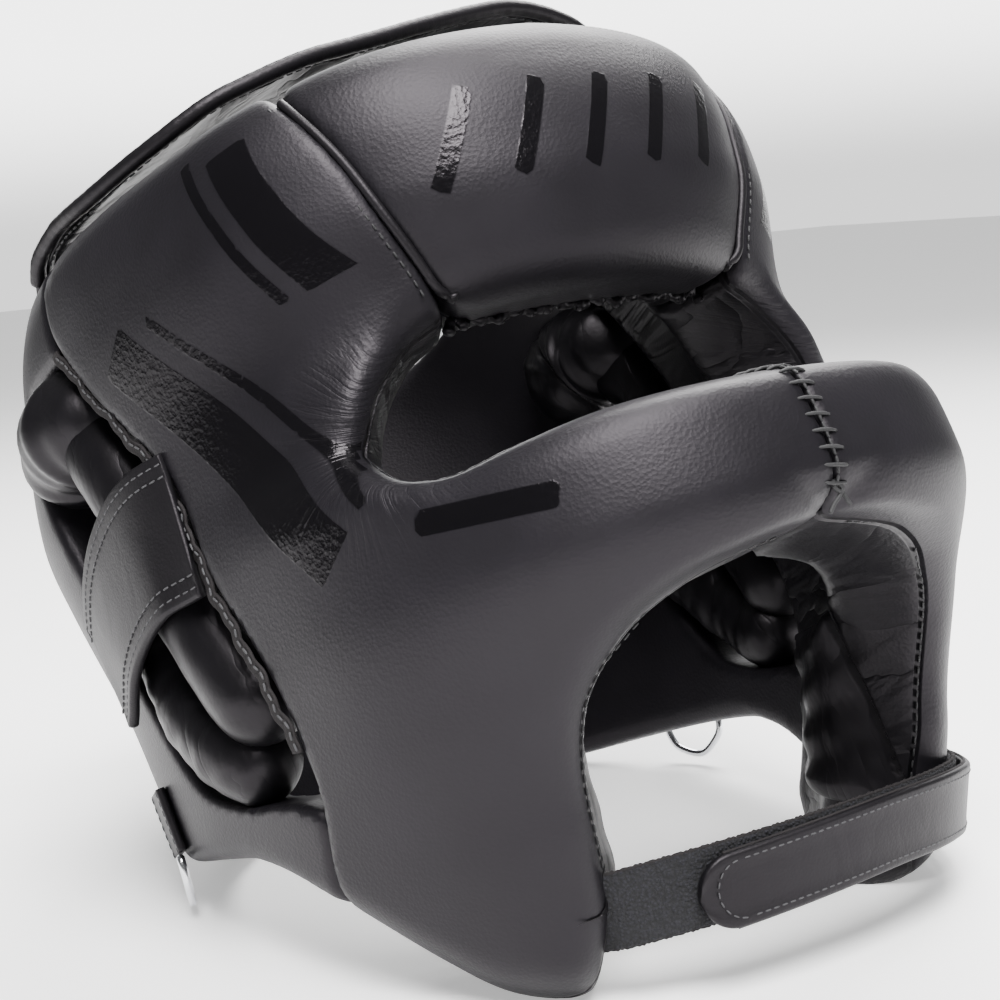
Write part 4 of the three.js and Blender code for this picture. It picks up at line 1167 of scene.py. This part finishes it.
def build_rear_binding():
    """Bound top edge of the rear panel."""
    angle = np.linspace(116, 175, 70)
    path = on_shell(-angle, upper_edge(angle) - 2.6, -REAR_THICKNESS / 2 - 1)
    count = 200
    binding = rope(path, REAR_BINDING_RADIUS, count, np.repeat([[0.0, 0.0, 1.0]], count, 0))
    both("rear_binding", [binding], "trim", replacing=False)


def build_nape():
    width = width_of("nape_strap")
    angle = np.linspace(180 - NAPE_STRAP_HALF_ANGLE, 180 + NAPE_STRAP_HALF_ANGLE, 70)
    middle = NAPE_HEIGHT + width
    turn, rise = np.meshgrid(angle, middle + width * (np.linspace(0, 1, 30) - 0.5), indexing="ij")
    points = on_shell(turn.ravel(), rise.ravel(), 0.3).reshape(*turn.shape, 3)
    half = shell_normal(points) * (LEATHER / 2)
    make_swept("nape_strap_dressed", [closed_sheet(points + half, points - half)], "trim",
               replaces=["nape_strap"])
    lift = LEATHER / 2 + 0.45
    lines = [on_shell(angle, middle + width * (share - 0.5), lift) for share in NAPE_SEAMS]
    rise = middle + width * (np.linspace(*NAPE_SEAMS, 40) - 0.5)
    lines += [on_shell(end, rise, lift) for end in (angle[2], angle[-3])]
    runs = [stitches(line, shell_normal(line), "nape") for line in lines]
    make_swept("nape_strap_stitches", runs, "thread")


def chin_route(first, last, outward, drops, count):
    """Centre line of the strap or its tab, which sags by the drops."""
    angle = np.linspace(first, last, 24)
    z = CHIN_HEIGHT + width_of("chin_strap") * chin_rise(angle) - np.interp(angle, DROP_ANGLES, drops)
    centres = smooth_path(on_shell(angle, z, chin_lift(angle) + outward), count)
    return centres, shell_normal(centres)


def build_chin():
    width, tab_width = width_of("chin_strap"), width_of("chin_tab")
    centres, normals = chin_route(STRAP_START, STRAP_END, 0, PILE_DROPS, 180)
    strap, across, out = strap_between(centres, normals, width)
    make_swept("chin_strap_dressed", [strap], "pile", slot="loop_pile", replaces=["chin_strap"])
    rims = [rope(line, RIM_RADIUS, 320, sides=8,
                 swell=lambda s: 1 + 0.3 * np.sin(900 * s) + 0.2 * np.sin(377 * s))
            for line, up in edge_lines(centres, across, out, width, 0.2, 0.2)]
    make_swept("chin_strap_edges", rims, "edge", slot="loop_pile")
    centres, normals = chin_route(TAB_START, STRAP_END, LEATHER + 1.5, TAB_DROPS, 160)
    tab, across, out = strap_between(centres, normals, tab_width, 0.25, True)
    make_swept("chin_tab_dressed", [tab], "trim", replaces=["chin_tab"])
    # Two rows of stitches past the round nose, and one that bends round it
    nose, lift = 11, LEATHER / 2 + 0.15
    inner = centres[nose + 1:], across[nose + 1:], out[nose + 1:]
    runs = [stitches(line, up, "tab") for line, up in edge_lines(*inner, tab_width, TAB_SEAM, lift)]
    turn = np.linspace(-math.pi / 2, math.pi / 2, 24)[:, None]
    reach = tab_width / 2 - TAB_SEAM
    ahead = unit(centres[nose + 1] - centres[nose - 1])
    bend = centres[nose] + across[nose] * (np.sin(turn) * reach) - ahead * (np.cos(turn) * reach)
    bend = bend + out[nose] * lift
    runs.append(stitches(bend, np.repeat(out[nose][None], len(turn), 0), "tab"))
    make_swept("chin_tab_stitches", runs, "thread")
    rims = [rope(line, 0.5, 300, sides=8)
            for line, up in edge_lines(centres[8:], across[8:], out[8:], tab_width, 0.1, -0.5)]
    make_swept("chin_tab_edges", rims, "edge")


def inside_panel(y, z, gap):
    """Points just off the inner face of the right cheek."""
    x = np.full(y.shape, -HALF_WIDTH / 4)
    going = np.ones(y.shape, bool)
    for _ in range(260):
        field = side_field(x, y, z)
        going = going & (field > gap) & (x > -LINING_REACH)
        x = np.where(going, x - np.maximum((field - gap) / 2, 0.1), x)
    return np.stack([x, y, z], -1)


def build_lining():
    """Puffed lining of the cheek, from the ear opening forward to the mouth."""
    u, v = np.meshgrid(np.linspace(0, 1, 60), np.linspace(0, 1, 70), indexing="ij")
    rear = EAR_EDGE_REACH + PAD_ROUNDING / 2
    y = -rear - (LINING_FRONT - rear) * u
    z = (2.4 - 1.3 * u) * PAD_ROUNDING
    z = z + (MOUTH_TOP * 0.82 - z) * v
    back = inside_panel(y, z, 0.2)
    inward = unit(np.stack([np.ones_like(u), 0.6 * u, 0 * u], -1))
    edge = np.minimum(np.minimum(u, 1 - u) * 7, np.minimum(v, 1 - v) * 7)
    puff = LINING_PUFF * np.clip(edge, 0, 1) ** 0.5 + 0.4
    folds = 1.1 * np.sin(16 * v + 5 * u) * np.clip(1 - u * 1.4, 0, 1) + 0.8 * np.sin(26 * v - 4 * u)
    front = back + inward * (puff + folds * np.clip(puff / 4, 0, 1) * 0.6)[..., None]
    both("cheek_lining", [closed_sheet(front, back)], "lining", slot="smooth_leather", fill=0.5)


def build_ring():
    z = lower_edge(RING_ANGLE) + RING_TAB_LIFT
    centres = on_shell(-RING_ANGLE, z + RING_TAB_SIZE * np.linspace(0.5, -0.5, 40), -0.2)
    strap, across, out = strap_between(centres, shell_normal(centres), RING_TAB_SIZE, 0.2)
    both("ring_tab", [strap], "trim")
    lines = edge_lines(centres, across, out, RING_TAB_SIZE, 2.0, LEATHER / 2 + 0.15)
    both("ring_tab_stitches", [stitches(line, up, "ring") for line, up in lines], "thread", replacing=False)
    centre = on_shell(-RING_ANGLE, z - RING_TAB_SIZE / 2, LEATHER / 2 - 1)[0] - np.array([0, 0, 2.3])
    turn = math.radians(RING_ANGLE)
    outward = np.array([-math.sin(turn), -math.cos(turn), 0])
    along = np.cross([0, 0, 1], outward)
    path = [centre + along * (a * RING_WIDTH) + np.array([0, 0, b * RING_DROP]) for a, b in RING]
    count = 120
    normals = np.repeat(outward[None], count, 0)
    both("ring", [rope(path, RING_RADIUS, count, normals, True, 14)], "chrome", slot="chrome")


def build_lacing():
    """Cross stitches that lace the two halves of the bar, and the knot at their lower end."""
    front = on_shell(0.0, np.linspace(BAR_TOP - 6, MOUTH_TOP + 3, 24), 0.0)
    top = front[0] + np.array([[0.0, 20, 6], [0, 14, 6], [0, 8, 6], [0, 3, 4]])
    path = settle(bar_field, smooth_path(np.concatenate([top, front]), 160))
    path[:, 0] = 0
    normals = unit(gradient(bar_field, *path.T, 1.2) * np.array([0, 1, 1]))
    run = [stitches(path, normals, "lace", -0.2, LACE_SLANT, 1.0), stitches(path, normals, "core", 0.3)]
    make_swept("bar_lacing", run, "dark_thread")
    ends = [
        [(-3, 0, 1), (-1, -1.6, 2), (1.4, -1.8, 0), (0, -1.2, -2), (-2, -1, -3.4), (-4, -0.4, -5.5)],
        [(3, 0, 1), (1, -1.4, -1), (-1.2, -1.8, 0.6), (0.6, -1.4, 2), (2.2, -1, -2.6), (3.4, -0.5, -4.4)],
    ]
    count = 60
    facing = np.repeat(normals[-1][None], count, 0)
    loops = [rope(path[-1] + np.array(end, float), 0.6, count, facing, sides=8) for end in ends]
    make_swept("bar_lacing_knot", loops, "dark_thread")


def build_stage():
    looks = bpy.context.scene.headgear_looks
    reach = FLOOR_REACH
    mesh = bpy.data.meshes.new("floor")
    mesh.from_pydata([(-reach, -reach, 0), (reach, -reach, 0), (reach, reach, 0), (-reach, reach, 0)], [],
                     [(0, 1, 2, 3)])
    floor = bpy.data.objects.new("floor", mesh)
    bpy.context.scene.collection.objects.link(floor)
    mesh.materials.append(plain_floor("floor_paper", looks.floor))
    world = bpy.data.worlds.new("studio") if bpy.context.scene.world is None else bpy.context.scene.world
    bpy.context.scene.world = world
    world.use_nodes = True
    backdrop = world.node_tree.nodes["Background"]
    backdrop.inputs["Color"].default_value = (1.0, 1.0, 1.0, 1.0)
    sky = Nodes(world.node_tree)
    direction = sky.node("ShaderNodeTexCoord", {}, {}, "Generated")
    facing = sky.node("ShaderNodeVectorMath", {"operation": "DOT_PRODUCT"},
                      {0: direction, 1: BACKDROP_SIDE}, "Value")
    height = sky.node("ShaderNodeSeparateXYZ", {}, {0: direction}, "Z")
    light = facing.within(*BACKDROP_SPREAD, ROOM_LIGHT, BACKDROP_LIGHT)
    sky.feed(backdrop.inputs["Strength"], light * height.within(0.0, HORIZON_HEIGHT, HORIZON_LIGHT, 1.0))
    for name, (place, target, width, power) in LIGHTS.items():
        lamp = bpy.data.lights.new(name, "AREA")
        lamp.size = width
        lamp.energy = power
        lamp.color = LIGHT_COLOR
        holder = bpy.data.objects.new(name, lamp)
        holder.location = place
        look = np.array(place) - np.array(target)
        holder.rotation_euler = (math.acos(look[2] / np.linalg.norm(look)), 0,
                                 math.atan2(look[1], look[0]) + math.pi / 2)
        bpy.context.scene.collection.objects.link(holder)


def build_camera():
    """The camera stands where the photograph was taken from."""
    def turned(vector):
        x, y, z = vector
        return (x, y * math.cos(LEAN) + z * math.sin(LEAN), z * math.cos(LEAN) - y * math.sin(LEAN))

    right, down, forward = (turned(v) for v in (CAMERA_RIGHT, CAMERA_DOWN, CAMERA_FORWARD))
    place = (np.array(turned(CAMERA_PLACE)) + SHIFT) * MM
    lens = bpy.data.cameras.new("photo_camera")
    lens.lens = CAMERA_LENS
    lens.sensor_width = 36.0
    lens.clip_end = 50.0
    camera = bpy.data.objects.new("photo_camera", lens)
    camera.matrix_world = Matrix((
        (right[0], -down[0], -forward[0], place[0]),
        (right[1], -down[1], -forward[1], place[1]),
        (right[2], -down[2], -forward[2], place[2]),
        (0, 0, 0, 1)))
    bpy.context.scene.collection.objects.link(camera)
    bpy.context.scene.camera = camera


def shade(name, text, value):
    return bpy.props.FloatVectorProperty(name=name, description=text, default=value, size=3, min=0.0, max=1.0,
                                         subtype="COLOR")


def width(name, text, value):
    return bpy.props.FloatProperty(name=name, description=text, default=value * MM, min=MM, precision=4,
                                   subtype="DISTANCE", unit="LENGTH")


class HeadgearSizes(bpy.types.PropertyGroup):
    ear_band: width("Ear band", "Width of the band that crosses the ear rolls", 44.0)
    chin_strap: width("Chin strap", "Width of the pile strap across the jaws", 21.0)
    chin_tab: width("Chin tab", "Width of the leather tab over the chin strap", 20.0)
    nape_strap: width("Nape strap", "Width of the closing strap at the back", 58.0)


class HeadgearLooks(bpy.types.PropertyGroup):
    leather: shade("Leather", "Colour of the outer leather", (0.0065, 0.006, 0.0075))
    lining: shade("Lining", "Colour of the smooth lining and the ear rolls", (0.0035, 0.0033, 0.004))
    trim: shade("Trim", "Colour of bindings, piping and straps", (0.0045, 0.0042, 0.005))
    edge: shade("Raw edge", "Colour of cut leather and woven edges", (0.014, 0.013, 0.013))
    thread: shade("Thread", "Colour of the visible stitches", (0.035, 0.035, 0.038))
    lace: shade("Lace", "Colour of the lacing", (0.006, 0.006, 0.007))
    pile: shade("Pile", "Colour of the loop pile", (0.006, 0.006, 0.009))
    ring: shade("Ring", "Colour of the ring", (0.75, 0.76, 0.79))
    floor: shade("Floor", "Colour of the floor", (0.9, 0.9, 0.9))


class Build:
    """Runs the steps that build a piece or a group of like pieces."""

    def execute(self, context):
        for step in self.steps:
            step()
        return {"FINISHED"}


class HEADGEAR_OT_camera(Build, bpy.types.Operator):
    """Place the camera where the photograph was taken from"""
    bl_idname = "headgear.camera"
    bl_label = "Camera"
    steps = (build_camera,)


class HEADGEAR_OT_forehead(Build, bpy.types.Operator):
    """Build the forehead pad and the lining's edge under the brow"""
    bl_idname = "headgear.forehead"
    bl_label = "Forehead pad"
    steps = (build_forehead, build_brow_edge)


class HEADGEAR_OT_sides(Build, bpy.types.Operator):
    """Build the two side panels with their half of the bar"""
    bl_idname = "headgear.sides"
    bl_label = "Side panels"
    steps = (build_sides, build_lining_seam)


class HEADGEAR_OT_rear(Build, bpy.types.Operator):
    """Build the rear panels and their bound edge"""
    bl_idname = "headgear.rear"
    bl_label = "Rear panels"
    steps = (build_rear, build_rear_binding)


class HEADGEAR_OT_piping(Build, bpy.types.Operator):
    """Build the piping and stitches of the brow seams"""
    bl_idname = "headgear.piping"
    bl_label = "Brow piping"
    steps = (build_piping,)


class HEADGEAR_OT_crown(Build, bpy.types.Operator):
    """Build the crown band with its binding"""
    bl_idname = "headgear.crown"
    bl_label = "Crown band"
    steps = (build_crown,)


class HEADGEAR_OT_ear(Build, bpy.types.Operator):
    """Build the rolls and covers of the ear openings"""
    bl_idname = "headgear.ear"
    bl_label = "Ear rolls"
    steps = (build_ear,)


class HEADGEAR_OT_ear_band(Build, bpy.types.Operator):
    """Build the bands and raw edges at the ears"""
    bl_idname = "headgear.ear_band"
    bl_label = "Ear bands"
    steps = (build_ear_band, build_raw_edge)


class HEADGEAR_OT_lining(Build, bpy.types.Operator):
    """Build the lining inside the cheeks"""
    bl_idname = "headgear.lining"
    bl_label = "Cheek lining"
    steps = (build_lining,)


class HEADGEAR_OT_chin(Build, bpy.types.Operator):
    """Build the pile strap and its leather tab"""
    bl_idname = "headgear.chin"
    bl_label = "Chin strap"
    steps = (build_chin,)


class HEADGEAR_OT_nape(Build, bpy.types.Operator):
    """Build the closing strap at the back"""
    bl_idname = "headgear.nape"
    bl_label = "Nape strap"
    steps = (build_nape,)


class HEADGEAR_OT_ring(Build, bpy.types.Operator):
    """Build the ring tabs and rings"""
    bl_idname = "headgear.ring"
    bl_label = "Rings"
    steps = (build_ring,)


class HEADGEAR_OT_lacing(Build, bpy.types.Operator):
    """Lace the two halves of the bar"""
    bl_idname = "headgear.lacing"
    bl_label = "Lacing"
    steps = (build_lacing,)


class HEADGEAR_OT_stage(Build, bpy.types.Operator):
    """Build the floor and the soft studio light"""
    bl_idname = "headgear.stage"
    bl_label = "Stage"
    steps = (build_stage,)


OPERATORS = [
    HEADGEAR_OT_camera, HEADGEAR_OT_forehead, HEADGEAR_OT_sides, HEADGEAR_OT_rear, HEADGEAR_OT_piping,
    HEADGEAR_OT_crown, HEADGEAR_OT_ear, HEADGEAR_OT_ear_band, HEADGEAR_OT_lining, HEADGEAR_OT_chin,
    HEADGEAR_OT_nape, HEADGEAR_OT_ring, HEADGEAR_OT_lacing, HEADGEAR_OT_stage,
]


class HEADGEAR_PT_panel(bpy.types.Panel):
    bl_label = "Boxing headgear"
    bl_idname = "HEADGEAR_PT_panel"
    bl_space_type = "VIEW_3D"
    bl_region_type = "UI"
    bl_category = "Headgear"

    def draw(self, context):
        scene = context.scene
        for group, kind in ((scene.headgear_sizes, HeadgearSizes), (scene.headgear_looks, HeadgearLooks)):
            for key in kind.__annotations__:
                self.layout.prop(group, key)
        for kind in OPERATORS:
            self.layout.operator(kind.bl_idname)


CLASSES = [HeadgearSizes, HeadgearLooks, *OPERATORS, HEADGEAR_PT_panel]


def register():
    for kind in CLASSES:
        bpy.utils.register_class(kind)
    bpy.types.Scene.headgear_sizes = bpy.props.PointerProperty(type=HeadgearSizes)
    bpy.types.Scene.headgear_looks = bpy.props.PointerProperty(type=HeadgearLooks)


def unregister():
    del bpy.types.Scene.headgear_looks
    del bpy.types.Scene.headgear_sizes
    for kind in reversed(CLASSES):
        bpy.utils.unregister_class(kind)


def main():
    register()
    for kind in OPERATORS:
        getattr(bpy.ops.headgear, kind.bl_idname.split(".")[1])()


if __name__ == "__main__":
    main()
